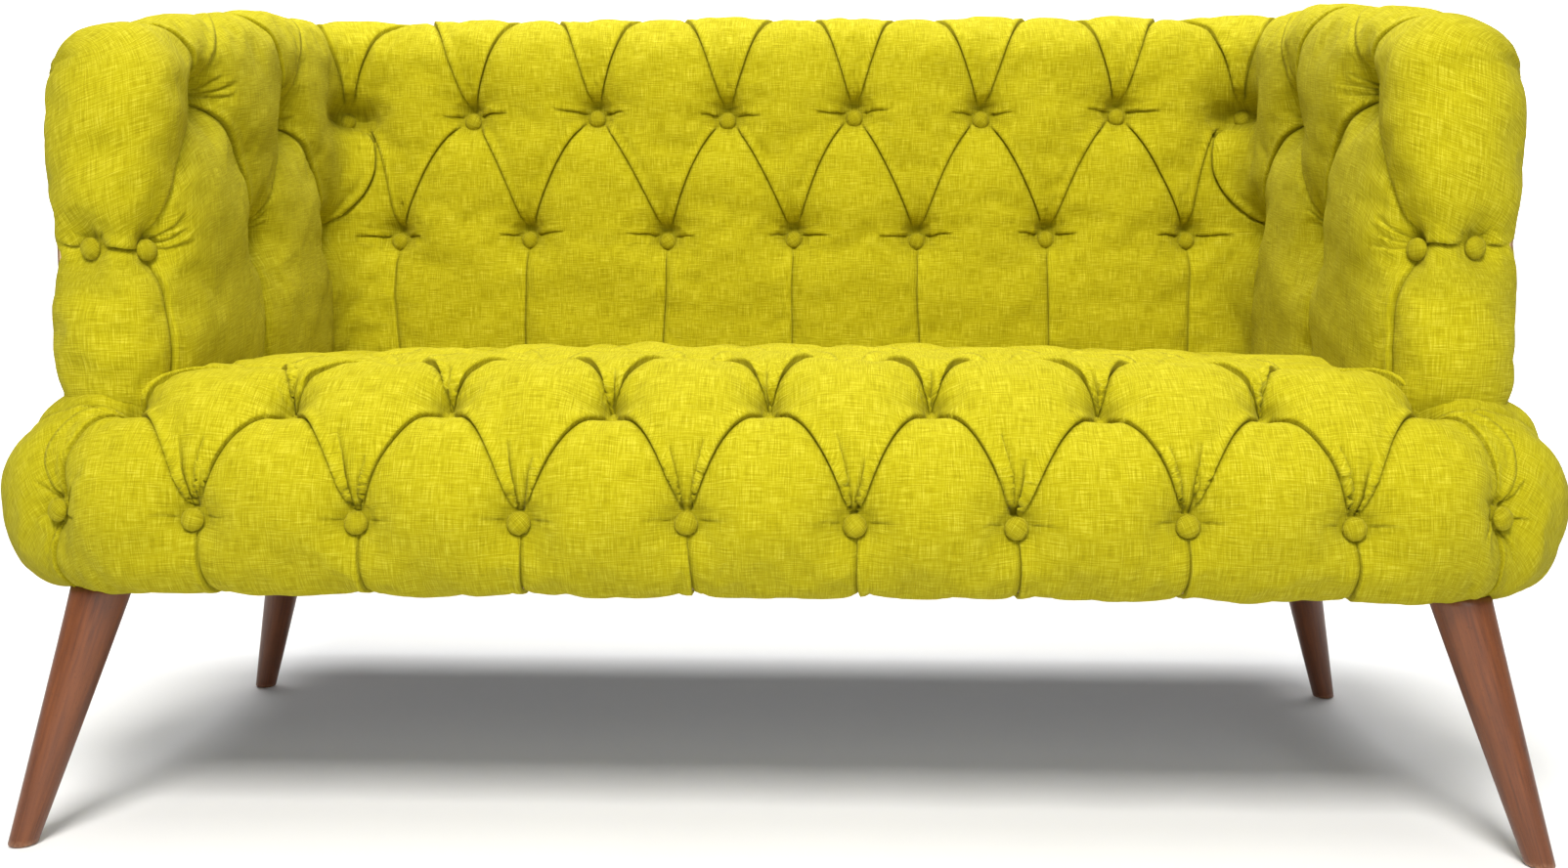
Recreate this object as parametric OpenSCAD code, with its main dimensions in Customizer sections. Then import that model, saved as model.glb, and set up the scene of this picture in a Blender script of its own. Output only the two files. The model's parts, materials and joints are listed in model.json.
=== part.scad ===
// Two-seat button-tufted sofa on four splayed round wooden legs.
// Millimetres. +X is the viewer's right, the sofa faces -Y, +Z is up.
// The origin is on the floor under the middle of the sofa.

/* [Overall] */
// Overall width, across the rounded ends of the seat
sofa_w = 1410; // [1300:10:1500]
// Overall depth, from the nose of the seat to the outside of the back
sofa_d = 740; // [700:10:800]
// Overall height, to the top of the back roll
sofa_h = 846; // [820:2:900]

/* [Seat] */
// Height of the underside of the seat
seat_z0 = 230; // [215:1:240]
// Height of the middle of the seat cushion
seat_z1 = 440; // [430:1:460]
// Radius of the rounded nose of the seat
nose_r = 75; // [70:1:78]
// Radius of the seat's front corners in plan
corner_r = 135; // [110:1:140]
// Distance that the ends of the seat nose stand out past the arms
nose_out = 31; // [20:1:40]

/* [Arms and back] */
// Thickness of each arm over its padding
arm_t = 115; // [105:1:125]
// Thickness of the back over its padding
back_t = 145; // [130:1:160]
// Height of the arm top just behind its rounded front
arm_front_z = 752; // [720:1:780]
// Distance from the seat nose back to the padded front of the arms
arm_setback = 80; // [70:1:95]

/* [Legs] */
// Diameter of a leg where it meets the seat frame
leg_top_d = 52; // [44:1:56]
// Diameter of a leg at the floor
leg_foot_d = 24; // [20:1:30]
// Sideways run of a leg from top to foot
leg_run_x = 62; // [40:1:75]
// Run of a leg from top to foot, front to back
leg_run_y = 45; // [20:1:60]
// Distance between the front and rear legs where they meet the frame
leg_span_y = 452; // [380:1:520]

/* [Frame] */
// Thickness of the seat rails
rail_t = 20; // [18:1:25]
// Height of the seat rails
rail_h = 75; // [60:1:80]
// Thickness of the arm posts and arm top rails
post_t = 25; // [20:1:25]
// Thickness of the plywood tufting boards in the arms
board_t = 9; // [6:1:12]
// Thickness of the hardboard behind the outside fabric
panel_t = 3; // [2:0.5:4]
// Thickness of the covering fabric with its wadding
cover_t = 2; // [1.5:0.5:2.5]
// Width of a webbing strap
strap_w = 60; // [40:5:70]

/* [Buttons] */
// Diameter of a covered button
button_d = 21; // [18:0.5:24]
// Distance between neighbouring buttons in a seat row
seat_pitch = 147; // [140:1:150]
// Distance between neighbouring buttons in a back row
back_pitch = 163; // [155:1:168]
// Distance between the seat rows on the flat of the seat
row_pitch = 125; // [115:1:130]
// Radius of the round well in the padding that a button is pulled down into
well_r = 15; // [14:0.5:18]
// Diameter of the twine that ties a button down
twine_d = 2; // [1.5:0.1:2.5]

/* [Hidden] */

fabric_c = [0.74, 0.71, 0.07];
fabric_dark_c = [0.60, 0.57, 0.05];
walnut_c = [0.42, 0.23, 0.13];
pine_c = [0.80, 0.66, 0.45];
ply_c = [0.74, 0.58, 0.38];
hardboard_c = [0.46, 0.32, 0.20];
foam_c = [0.93, 0.89, 0.72];
steel_c = [0.70, 0.71, 0.73];
jute_c = [0.68, 0.56, 0.36];
black_c = [0.12, 0.12, 0.12];
twine_c = [0.88, 0.84, 0.74];

F = 24; // facets of the rounded soft forms
hx = sofa_w / 2;
y0 = -sofa_d / 2;
y1 = sofa_d / 2;
ax1 = hx - nose_out;             // outside face of an arm
ax0 = ax1 - arm_t;               // inside crest of an arm
ay0 = y0 + arm_setback;          // front crest of an arm
by0 = y1 - back_t;               // front crest of the back
arm_r = 50;                      // radius of the arm roll
back_r = 60;                     // radius of the back roll
arm_back_z = sofa_h - 4;         // top of the arm where it meets the back
split_z = sofa_h - 62;           // seam between the top roll and the outside back

px1 = ax1 - cover_t - panel_t;   // outside face of the arm posts
px0 = px1 - post_t;              // inside face of the arm posts = outside of the side rails
rx = px0;
ry0 = y0 + 35;                   // front face of the front rail
ry1 = y1 - cover_t - panel_t;    // rear face of the rear rail
chamfer = 35;                    // cut across the front corners of the seat frame
rz0 = seat_z0 + 5.5;             // underside of the rails
rz1 = rz0 + rail_h;              // top of the rails
deck_z = rz1 + 5;                // top of the hessian
board_y = by0 + 75;              // front face of the back board
bpost_d = ry1 - board_y - 6;     // depth of the back posts
arm_py = ay0 + 35;               // front face of the front arm posts
plate_z = rz0 - 2;               // underside of the leg plates
seam_drop = 16;                  // the outside cloth of an arm starts this far below the top rail's top
slope = (arm_back_z - arm_front_z) / (y1 - back_r - (ay0 + arm_r));
roll_h = 56;                     // padding over the arm top rails
function arm_rail_z(y) = arm_front_z - roll_h + slope * (y - (ay0 + arm_r));

leg_x_front = rx - 29;
leg_y_front = ry0 + 30;
leg_x_rear = leg_x_front - 10;
leg_y_rear = leg_y_front + leg_span_y;
LEGS = [[-1, leg_x_front, leg_y_front, -1], [1, leg_x_front, leg_y_front, -1],
        [-1, leg_x_rear, leg_y_rear, 1], [1, leg_x_rear, leg_y_rear, 1]];

// Buttons: [x, y, z, tilt about X, turn about Z, tie length]
bt = button_d / 3;                       // thickness of a button
flat_z = seat_z1 - 30;                   // height of the button bases on the flat of the seat
row3_y = y0 + 160;
function row(n, y, z, tilt, len, pitch) = [for (k = [0 : n - 1]) [(k - (n - 1) / 2) * pitch, y, z, tilt, 0, len]];
SEAT_BUTTONS = concat(
  row(8, ry0 - 3, rz1 - 10, 90, 3, seat_pitch - 1.5),
  [for (s = [-1, 1]) [s * (hx - corner_r + (corner_r - 34) * sin(40)), y0 + corner_r - (corner_r - 34) * cos(40), rz1 - 5, 90, s * 40, 5]],
  row(9, y0 + 79, seat_z1 - 59, 35, 79, seat_pitch),
  row(8, row3_y, flat_z, 0, flat_z - deck_z + 3, seat_pitch - 3),
  row(7, row3_y + row_pitch, flat_z, 0, flat_z - deck_z + 3, seat_pitch),
  row(8, row3_y + 2 * row_pitch, flat_z, 0, flat_z - deck_z + 3, seat_pitch - 3),
  row(7, row3_y + 3 * row_pitch, flat_z, 0, flat_z - deck_z + 3, seat_pitch));
up_z = sofa_h - 126;
low_z = sofa_h - 276;
back_y = by0 + 37;
BACK_BUTTONS = concat(
  row(6, back_y, up_z, 90, board_y - back_y + 6, back_pitch),
  row(7, back_y, low_z, 90, board_y - back_y + 6, back_pitch),
  [[-(ax0 + 10), by0 + 60, up_z, 90, 45, 18], [ax0 + 10, by0 + 60, up_z, 90, -45, 18]]);
arm_bx = ax0 + 47;                       // button bases on the inside of the arms
function arm_buttons(s) = concat(
  [for (y = [-115, 110]) [s * arm_bx, y, up_z - 32 + (y + 115) * 0.03, 90, -s * 90, rx - arm_bx]],
  [for (y = [0, 215]) [s * arm_bx, y, low_z - 12 + y * 0.06, 90, -s * 90, rx - arm_bx]],
  [[s * (ax0 + 27), ay0 + 43, low_z - 30, 90, -s * 45, 22],
   [s * (ax1 - 43), ay0 + 27, low_z - 30, 90, 0, 8]]);

module place(b) { translate([b[0], b[1], b[2]]) rotate([b[3], 0, b[4]]) children(); }

module buttons(list) {
  for (b = list) place(b) {
    cylinder(d = button_d, h = bt * 0.45, $fn = 48);
    translate([0, 0, bt * 0.45]) intersection() {
      cylinder(d = button_d, h = bt, $fn = 48);
      translate([0, 0, bt * 0.55 - button_d * 0.77]) sphere(r = button_d * 0.77, $fn = 64);
    }
  }
}
module ties(list) {
  for (b = list) place(b) translate([0, 0, -b[5]]) cylinder(d = twine_d, h = b[5], $fn = 16);
}
// Round wells that the buttons are pulled down into; o makes them larger by the cloth's thickness
module hollows(list, o) {
  for (b = list) place(b) translate([0, 0, -o]) cylinder(r = well_r + o, h = 70 + o, $fn = 32);
}

module block(x0, x1, ya, yb, za, zb) {
  translate([x0, ya, za]) cube([x1 - x0, yb - ya, zb - za]);
}

// ---------- soft forms, each inset by i ----------
// a ball whose facets reach its full radius along every axis
module ball(p, r) { translate(p) rotate_extrude($fn = F) intersection() { circle(r = r, $fn = F); translate([0, -r]) square([r, 2 * r]); } }

module nose_form(i) {
  hull() for (s = [-1, 1]) {
    for (a = [0 : 30 : 90]) ball([s * (hx - corner_r + (corner_r - nose_r) * sin(a)), y0 + corner_r - (corner_r - nose_r) * cos(a), seat_z0 + nose_r], nose_r - i);
    ball([s * (hx - 115), y0 + 118, seat_z0 + 115], 60 - i);
  }
}
module cushion_form(i) {
  hull() {
    translate([-ax0 + i, y0 + 135, seat_z1 - 85]) rotate([0, 90, 0]) cylinder(r = 85 - i, h = 2 * (ax0 - i), $fn = 2 * F);
    translate([-ax0 + i, y0 + nose_r, seat_z0 + nose_r]) rotate([0, 90, 0]) cylinder(r = nose_r - i, h = 2 * (ax0 - i), $fn = 2 * F);
    block(-ax0 + i, ax0 - i, by0 - 60, by0 - i, deck_z, seat_z1 - i);
  }
}
module seat_form(i) {
  difference() {
    union() {
      difference() {
        nose_form(i);
        for (s = [-1, 1]) translate([s > 0 ? ax0 + 1 : -hx - 1, ay0 + 40 - i, 0]) cube([hx - ax0, 500, 900]);
      }
      cushion_form(i);
    }
    block(-rx, rx, ry0 + rail_t, y1, 0, deck_z);
  }
}
module arm_form(s, i) {
  xa = s > 0 ? ax0 + arm_r : -(ax1 - arm_r);
  xb = s > 0 ? ax1 - arm_r : -(ax0 + arm_r);
  hull() for (x = [xa, xb]) {
    ball([x, ay0 + arm_r, arm_front_z - arm_r], arm_r - i);
    ball([x, y1 - back_r, arm_back_z - arm_r], arm_r - i);
    for (y = [ay0 + arm_r, y1 - back_r]) translate([x, y, seat_z0 + 2]) cylinder(r = arm_r - i, h = 10, $fn = F);
  }
}
module back_form(i) {
  hull() for (s = [-1, 1]) {
    for (y = [by0 + back_r, y1 - back_r]) ball([s * (ax1 - back_r), y, sofa_h - back_r], back_r - i);
    translate([s * (ax1 - back_r), by0 + back_r, seat_z0 + 1]) cylinder(r = back_r - i, h = 10, $fn = F);
    translate([s * (ax1 - 12), y1 - 12, seat_z0 + 1]) cylinder(r = 12 - i, h = split_z - seat_z0 - 1, $fn = F);
  }
}
// The part of the arm and back forms that is taken up by frame and open space
module arm_core(s) {
  xa = s > 0 ? rx - board_t : -(ax1 + 50);
  translate([xa, 0, 0]) rotate([90, 0, 90]) linear_extrude(ax1 + 50 - rx + board_t)
    polygon([[arm_py, 0], [y1 + 50, 0], [y1 + 50, arm_rail_z(y1 + 50)], [arm_py, arm_rail_z(arm_py)]]);
}
module back_core() { block(-ax1 - 50, ax1 + 50, board_y, y1 + 50, 0, sofa_h - 60); }
module under_arms() {
  block(-ax1 - 50, ax1 + 50, y0 - 50, y1 + 50, 0, deck_z);
}

// ---------- legs and their fixings ----------
module leg(n) {
  l = LEGS[n];
  h = plate_z;
  // a tapered round leg, sawn flat at the floor and under its plate
  fx = l[0] * (l[1] + leg_run_x); fy = l[2] + l[3] * leg_run_y;
  dx = -l[0] * leg_run_x; dy = -l[3] * leg_run_y;
  len = sqrt(dx * dx + dy * dy + h * h);
  tilt = acos(h / len); turn = atan2(dy, dx);
  k = (leg_top_d - leg_foot_d) / 2 / len;
  color(walnut_c) difference() {
    intersection() {
      translate([fx, fy, 0]) rotate([0, tilt, turn]) rotate(90) translate([0, 0, -30])
        cylinder(r1 = leg_foot_d / 2 - 30 * k, r2 = leg_top_d / 2 + 30 * k, h = len + 60, $fn = 64);
      translate([fx - 200, fy - 200, 0]) cube([400, 400, h]);
    }
    translate([l[0] * l[1], l[2], h - 32]) cylinder(d = 8, h = 40, $fn = 32);
  }
}
module front_left_leg() { leg(0); }
module front_right_leg() { leg(1); }
module rear_left_leg() { leg(2); }
module rear_right_leg() { leg(3); }
module at_legs() { for (l = LEGS) translate([l[0] * l[1], l[2], plate_z]) children(); }

module leg_hanger_bolts() { color(steel_c) at_legs() translate([0, 0, -32]) cylinder(d = 8, h = 56, $fn = 32); }
module leg_inserts() {
  color(steel_c) at_legs() difference() {
    translate([0, 0, 2]) cylinder(d = 12, h = 22, $fn = 32);
    translate([0, 0, 1]) cylinder(d = 8, h = 24, $fn = 32);
  }
}
module leg_plates() {
  color(steel_c) at_legs() difference() {
    cylinder(d = 50, h = 2, $fn = 64);
    translate([0, 0, -1]) cylinder(d = 8, h = 4, $fn = 32);
    for (a = [0 : 90 : 270]) rotate(a) translate([19, 0, -1]) cylinder(d = 4, h = 4, $fn = 24);
  }
}
module leg_plate_screws() {
  color(steel_c) at_legs() for (a = [0 : 90 : 270]) rotate(a) translate([19, 0, 0]) cylinder(d = 4, h = 16, $fn = 24);
}
module leg_blocks() {
  color(pine_c) for (s = [-1, 1]) {
    // front blocks fill the chamfered corners of the seat frame
    difference() {
      translate([0, 0, rz0]) linear_extrude(rail_h - 10) polygon([
        [s * (rx - 100), ry0 + rail_t], [s * (rx - 55), ry0 + rail_t], [s * (rx - 55), ry0], [s * (rx - chamfer), ry0],
        [s * rx, ry0 + chamfer], [s * rx, ry0 + 55], [s * (rx - rail_t), ry0 + 55], [s * (rx - rail_t), ry0 + 100], [s * (rx - 100), ry0 + 100]]);
      translate([s * leg_x_front, leg_y_front, rz0 - 1]) cylinder(d = 12, h = 24, $fn = 32);
      for (a = [0 : 90 : 270]) translate([s * leg_x_front, leg_y_front, rz0 - 1]) rotate(a) translate([19, 0, 0]) cylinder(d = 4, h = 15, $fn = 24);
    }
    difference() {
      translate([s > 0 ? rx - rail_t - 75 : -(rx - rail_t), leg_y_rear - 38, rz0]) cube([75, 76, rail_h - 10]);
      translate([s * leg_x_rear, leg_y_rear, rz0 - 1]) cylinder(d = 12, h = 24, $fn = 32);
      for (a = [0 : 90 : 270]) translate([s * leg_x_rear, leg_y_rear, rz0 - 1]) rotate(a) translate([19, 0, 0]) cylinder(d = 4, h = 15, $fn = 24);
    }
  }
}

// ---------- seat frame ----------
module arm_bolt_holes(s, d) {
  for (y = [arm_py + 30, ry1 - 30]) for (z = [rz0 + 22, rz0 + 53])
    translate([s * (rx - rail_t - 1), y, z]) rotate([0, s * 90, 0]) cylinder(d = d, h = rail_t + post_t + 2, $fn = 32);
}
module seat_front_rail() { color(pine_c) block(-(rx - 55), rx - 55, ry0, ry0 + rail_t, rz0, rz1); }
module seat_rear_rail() { color(pine_c) block(-rx, rx, ry1 - rail_t, ry1, rz0, rz1); }
module side_rail(s) {
  color(pine_c) difference() {
    translate([s > 0 ? rx - rail_t : -rx, ry0 + 55, rz0]) cube([rail_t, ry1 - rail_t - ry0 - 55, rail_h]);
    arm_bolt_holes(s, 8);
    // notch clears the rim of the rear leg plate screws
    for (a = [0 : 90 : 270]) translate([s * leg_x_rear, leg_y_rear, rz0 - 1]) rotate(a) translate([19, 0, 0]) cylinder(d = 4, h = 15, $fn = 24);
  }
}
module seat_left_rail() { side_rail(-1); }
module seat_right_rail() { side_rail(1); }
module seat_centre_stretcher() { color(pine_c) block(-rail_t / 2, rail_t / 2, ry0 + rail_t, leg_y_rear + 38, rz0, rz1 - 12); }
module rear_leg_rail() { color(pine_c) block(-(rx - rail_t), rx - rail_t, leg_y_rear + 38, leg_y_rear + 38 + rail_t, rz0, rz1 - 12); }
module webbing_front_to_back() {
  color(black_c) for (k = [0 : 8]) translate([(k - 4) * 130 - strap_w / 2, ry0, rz1]) cube([strap_w, ry1 - ry0, 2]);
}
module webbing_side_to_side() {
  color(black_c) for (k = [0 : 4]) translate([-rx, ry0 + 90 + k * 115, rz1 + 2]) cube([2 * rx, strap_w, 2]);
}
module seat_hessian() { color(jute_c) block(-(rx - 25), rx - 25, ry0, ry1 - bpost_d - 6, rz1 + 4, deck_z); }
module dust_cover() {
  color(black_c) difference() {
    union() {
      block(-(rx - 3), rx - 3, ry0 + 3, ry1 - 3, rz0 - 1, rz0);
      block(-(px1 - 3), px1 - 3, arm_py + 5, ry1 - 3, rz0 - 1, rz0);
    }
    at_legs() translate([0, 0, -5]) cylinder(d = 54, h = 20, $fn = 48);
    for (s = [-1, 1]) translate([s * rx, ry0, rz0 - 5]) rotate(45) translate([-28, -28, 0]) cube([56, 56, 10]);
  }
}

// ---------- back frame ----------
bpy = ry1 - bpost_d;
module back_post(x) { block(x - 20, x + 20, bpy, ry1, rz1, sofa_h - 101); }
module back_left_post() { color(pine_c) back_post(-(rx - 20)); }
module back_right_post() { color(pine_c) back_post(rx - 20); }
module back_centre_post() { color(pine_c) difference() { back_post(0); back_bottom_cut(); } }
module back_bottom_cut() { block(-rx + 40, rx - 40, bpy, bpy + rail_t, rz1, rz1 + 60); }
module back_bottom_rail() { color(pine_c) back_bottom_cut(); }
module back_top_rail() { color(pine_c) block(-rx, rx, bpy, ry1, sofa_h - 101, sofa_h - 61); }
module back_board() {
  color(ply_c) difference() {
    block(-(rx - board_t), rx - board_t, board_y, bpy, rz1 + 5, sofa_h - 61);
    for (b = BACK_BUTTONS) if (abs(b[0]) < ax0 - 10) translate([b[0], board_y - 1, b[2]]) rotate([-90, 0, 0]) cylinder(d = 6, h = 10, $fn = 24);
  }
}

// ---------- arm frames ----------
module arm_profile(ya, yb, za, drop) {
  polygon([[ya, za], [yb, za], [yb, arm_rail_z(yb) - drop], [ya, arm_rail_z(ya) - drop]]);
}
module arm_slice(s, x0, t) { translate([s > 0 ? x0 : -x0 - t, 0, 0]) rotate([90, 0, 90]) linear_extrude(t) children(); }
module front_post(s) {
  color(pine_c) difference() {
    arm_slice(s, rx, post_t) arm_profile(arm_py, arm_py + 60, rz0, 45);
    arm_bolt_holes(s, 8);
  }
}
module rear_post(s) {
  color(pine_c) difference() {
    arm_slice(s, rx, post_t) arm_profile(ry1 - 60, ry1, rz0, 45);
    arm_bolt_holes(s, 8);
  }
}
module arm_top_rail(s) {
  color(pine_c) arm_slice(s, rx, post_t)
    polygon([[arm_py, arm_rail_z(arm_py) - 45], [ry1, arm_rail_z(ry1) - 45], [ry1, arm_rail_z(ry1)], [arm_py, arm_rail_z(arm_py)]]);
}
module arm_board(s) {
  color(ply_c) difference() {
    arm_slice(s, rx - board_t, board_t) arm_profile(arm_py, board_y, rz1 + 5, 0);
    for (b = arm_buttons(s)) if (abs(b[4]) == 90) translate([s * (rx - board_t - 1), b[1], b[2]]) rotate([0, s * 90, 0]) cylinder(d = 6, h = board_t + 2, $fn = 24);
  }
}
module left_arm_front_post() { front_post(-1); }
module left_arm_rear_post() { rear_post(-1); }
module left_arm_top_rail() { arm_top_rail(-1); }
module left_arm_board() { arm_board(-1); }
module right_arm_front_post() { front_post(1); }
module right_arm_rear_post() { rear_post(1); }
module right_arm_top_rail() { arm_top_rail(1); }
module right_arm_board() { arm_board(1); }
module arm_bolts() {
  color(steel_c) for (s = [-1, 1]) for (y = [arm_py + 30, ry1 - 30]) for (z = [rz0 + 22, rz0 + 53])
    translate([s * (rx - rail_t), y, z]) rotate([0, s * 90, 0]) {
      cylinder(d = 8, h = rail_t + post_t, $fn = 32);
      translate([0, 0, -5]) cylinder(d = 16, h = 5, $fn = 32);
    }
}

// ---------- hardboard behind the outside fabric ----------
module outside_back_panel() { color(hardboard_c) block(-rx, rx, ry1, ry1 + panel_t, rz0, sofa_h - 61); }
module outside_arm_panel(s) {
  color(hardboard_c) arm_slice(s, px1, panel_t) arm_profile(arm_py + 2, ry1 - 20, rz0, 2);
}
module left_outside_arm_panel() { outside_arm_panel(-1); }
module right_outside_arm_panel() { outside_arm_panel(1); }

// ---------- foam ----------
module seat_foam() {
  color(foam_c) difference() {
    seat_form(cover_t);
    block(-hx, hx, y0, y1, 0, deck_z);
    hollows(SEAT_BUTTONS, cover_t);
  }
}
module seat_nose_foam() {
  color(foam_c) difference() {
    intersection() { seat_form(cover_t); block(-hx, hx, y0, ay0 + 38, 0, deck_z); }
    translate([0, 0, -1]) linear_extrude(deck_z + 2) polygon([
      [-rx, y1], [-rx, ry0 + chamfer], [-(rx - chamfer), ry0], [rx - chamfer, ry0], [rx, ry0 + chamfer], [rx, y1]]);
    hollows(SEAT_BUTTONS, cover_t);
  }
}
module back_foam() {
  color(foam_c) difference() {
    back_form(cover_t);
    back_core();
    arm_core(-1);
    arm_core(1);
    under_arms();
    hollows(BACK_BUTTONS, cover_t);
  }
}
module arm_foam(s) {
  color(foam_c) difference() {
    arm_form(s, cover_t);
    arm_core(s);
    under_arms();
    nose_form(0);
    back_form(0);
    hollows(arm_buttons(s), cover_t);
    for (b = BACK_BUTTONS) if (b[0] * s > ax0) hollows([b], cover_t);
  }
}
module left_arm_foam() { arm_foam(-1); }
module right_arm_foam() { arm_foam(1); }

// ---------- covers ----------
module seat_cover() {
  color(fabric_c) difference() {
    difference() { seat_form(0); hollows(SEAT_BUTTONS, 0); }
    difference() { seat_form(cover_t); hollows(SEAT_BUTTONS, cover_t); }
    block(-rx + 10, rx - 10, ry0 + 5, y1, 0, deck_z);
    block(-ax0 + cover_t, ax0 - cover_t, by0 - cover_t, y1, 0, seat_z1 - cover_t);
  }
}
module inside_back_cover() {
  color(fabric_c) difference() {
    difference() { back_form(0); hollows(BACK_BUTTONS, 0); }
    difference() { back_form(cover_t); hollows(BACK_BUTTONS, cover_t); }
    // the outside back and the ends below the top roll have their own cloth
    block(-hx, hx, y1 - back_r, y1 + 1, 0, split_z);
    under_arms();
    for (s = [-1, 1]) translate([s > 0 ? ax0 + cover_t : -hx, 0, 0]) cube([hx - ax0 - cover_t, y1 + 1, split_z]);
  }
}
module arm_cover(s) {
  color(fabric_c) difference() {
    difference() { arm_form(s, 0); hollows(arm_buttons(s), 0); }
    difference() { arm_form(s, cover_t); hollows(arm_buttons(s), cover_t); }
    // the outside of the arm has its own panel of cloth
    arm_slice(s, ax1 - cover_t - 0.5, 20) arm_profile(ay0 + arm_r, y1 + 20, 0, seam_drop);
    under_arms();
    nose_form(0);
    back_form(0);
    for (b = BACK_BUTTONS) if (b[0] * s > ax0) hollows([b], 0);
  }
}
module left_arm_cover() { arm_cover(-1); }
module right_arm_cover() { arm_cover(1); }
module outside_back_cover() {
  color(fabric_c) block(-(ax1 - 12), ax1 - 12, y1 - cover_t, y1, seat_z0 + 1, split_z);
}
module outside_arm_cover(s) {
  color(fabric_c) {
    arm_slice(s, ax1 - cover_t, cover_t) arm_profile(ay0 + 43, y1 - back_r, seat_z0 + 1, seam_drop);
    // wraps round the rear corner to the outside back
    intersection() {
      difference() { back_form(0); back_form(cover_t); }
      translate([s > 0 ? ax1 - 12 : -hx, y1 - back_r, seat_z0 + 1]) cube([hx - ax1 + 12, 200, split_z - seat_z0 - 1]);
    }
  }
}
module left_outside_arm_cover() { outside_arm_cover(-1); }
module right_outside_arm_cover() { outside_arm_cover(1); }

// ---------- buttons ----------
module seat_buttons() { color(fabric_dark_c) buttons(SEAT_BUTTONS); }
module back_buttons() { color(fabric_dark_c) buttons(BACK_BUTTONS); }
module left_arm_buttons() { color(fabric_dark_c) buttons(arm_buttons(-1)); }
module right_arm_buttons() { color(fabric_dark_c) buttons(arm_buttons(1)); }
module seat_button_ties() { color(twine_c) ties(SEAT_BUTTONS); }
module back_button_ties() { color(twine_c) ties(BACK_BUTTONS); }
module left_arm_button_ties() { color(twine_c) ties(arm_buttons(-1)); }
module right_arm_button_ties() { color(twine_c) ties(arm_buttons(1)); }

front_left_leg();
front_right_leg();
rear_left_leg();
rear_right_leg();
leg_hanger_bolts();
leg_inserts();
leg_plates();
leg_plate_screws();
leg_blocks();
seat_front_rail();
seat_rear_rail();
seat_left_rail();
seat_right_rail();
seat_centre_stretcher();
rear_leg_rail();
webbing_front_to_back();
webbing_side_to_side();
seat_hessian();
back_top_rail();
back_left_post();
back_right_post();
back_centre_post();
back_bottom_rail();
back_board();
left_arm_front_post();
left_arm_rear_post();
left_arm_top_rail();
left_arm_board();
right_arm_front_post();
right_arm_rear_post();
right_arm_top_rail();
right_arm_board();
arm_bolts();
outside_back_panel();
left_outside_arm_panel();
right_outside_arm_panel();
seat_foam();
seat_nose_foam();
back_foam();
left_arm_foam();
right_arm_foam();
seat_cover();
inside_back_cover();
left_arm_cover();
right_arm_cover();
outside_back_cover();
left_outside_arm_cover();
right_outside_arm_cover();
dust_cover();
seat_buttons();
back_buttons();
left_arm_buttons();
right_arm_buttons();
seat_button_ties();
back_button_ties();
left_arm_button_ties();
right_arm_button_ties();
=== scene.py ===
import json
import math

import bpy
import numpy as np
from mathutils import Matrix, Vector
from mathutils.geometry import delaunay_2d_cdt
from mathutils.kdtree import KDTree


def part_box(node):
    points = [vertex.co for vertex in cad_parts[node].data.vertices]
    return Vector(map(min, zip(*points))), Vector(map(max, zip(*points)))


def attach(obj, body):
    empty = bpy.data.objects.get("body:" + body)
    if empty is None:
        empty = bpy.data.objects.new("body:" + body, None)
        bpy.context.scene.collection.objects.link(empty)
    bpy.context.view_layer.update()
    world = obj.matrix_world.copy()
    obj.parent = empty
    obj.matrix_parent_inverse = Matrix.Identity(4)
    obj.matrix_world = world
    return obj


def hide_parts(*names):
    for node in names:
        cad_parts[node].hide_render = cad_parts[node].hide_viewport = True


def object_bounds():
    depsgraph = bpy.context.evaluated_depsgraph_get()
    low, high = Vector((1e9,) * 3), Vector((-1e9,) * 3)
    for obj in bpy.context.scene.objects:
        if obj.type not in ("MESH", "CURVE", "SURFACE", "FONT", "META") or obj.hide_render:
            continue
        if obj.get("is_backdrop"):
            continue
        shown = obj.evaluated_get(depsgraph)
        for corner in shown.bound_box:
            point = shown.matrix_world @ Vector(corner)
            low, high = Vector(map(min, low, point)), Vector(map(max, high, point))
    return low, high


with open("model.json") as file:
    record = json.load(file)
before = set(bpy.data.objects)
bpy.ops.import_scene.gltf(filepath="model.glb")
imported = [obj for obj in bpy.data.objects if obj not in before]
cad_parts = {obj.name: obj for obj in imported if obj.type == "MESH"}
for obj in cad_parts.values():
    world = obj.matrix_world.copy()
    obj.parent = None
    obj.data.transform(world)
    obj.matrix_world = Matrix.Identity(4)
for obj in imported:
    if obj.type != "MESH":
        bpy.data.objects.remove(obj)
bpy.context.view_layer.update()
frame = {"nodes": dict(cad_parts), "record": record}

SCENE = bpy.context.scene

# ------------------------------------------------------------------ sizes
# Everything hangs on boxes of the CAD nodes.
SEAT_LO, SEAT_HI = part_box("seat_cover")
BACK_LO, BACK_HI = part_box("inside_back_cover")
ARM_LO, ARM_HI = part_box("right_arm_cover")
HX = SEAT_HI.x                     # half the seat's width
Y0, Y1 = SEAT_LO.y, BACK_HI.y      # nose of the seat, outside of the back
SEAT_Z1 = SEAT_HI.z
TOP_Z = BACK_HI.z
ARM_X0, ARM_X1 = ARM_LO.x, ARM_HI.x
ARM_Y0 = ARM_LO.y
BACK_Y0 = BACK_LO.y
UNDER_Z = SEAT_LO.z


def smooth(t):
    t = np.clip(t, 0.0, 1.0)
    return t * t * (3 - 2 * t)


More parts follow.
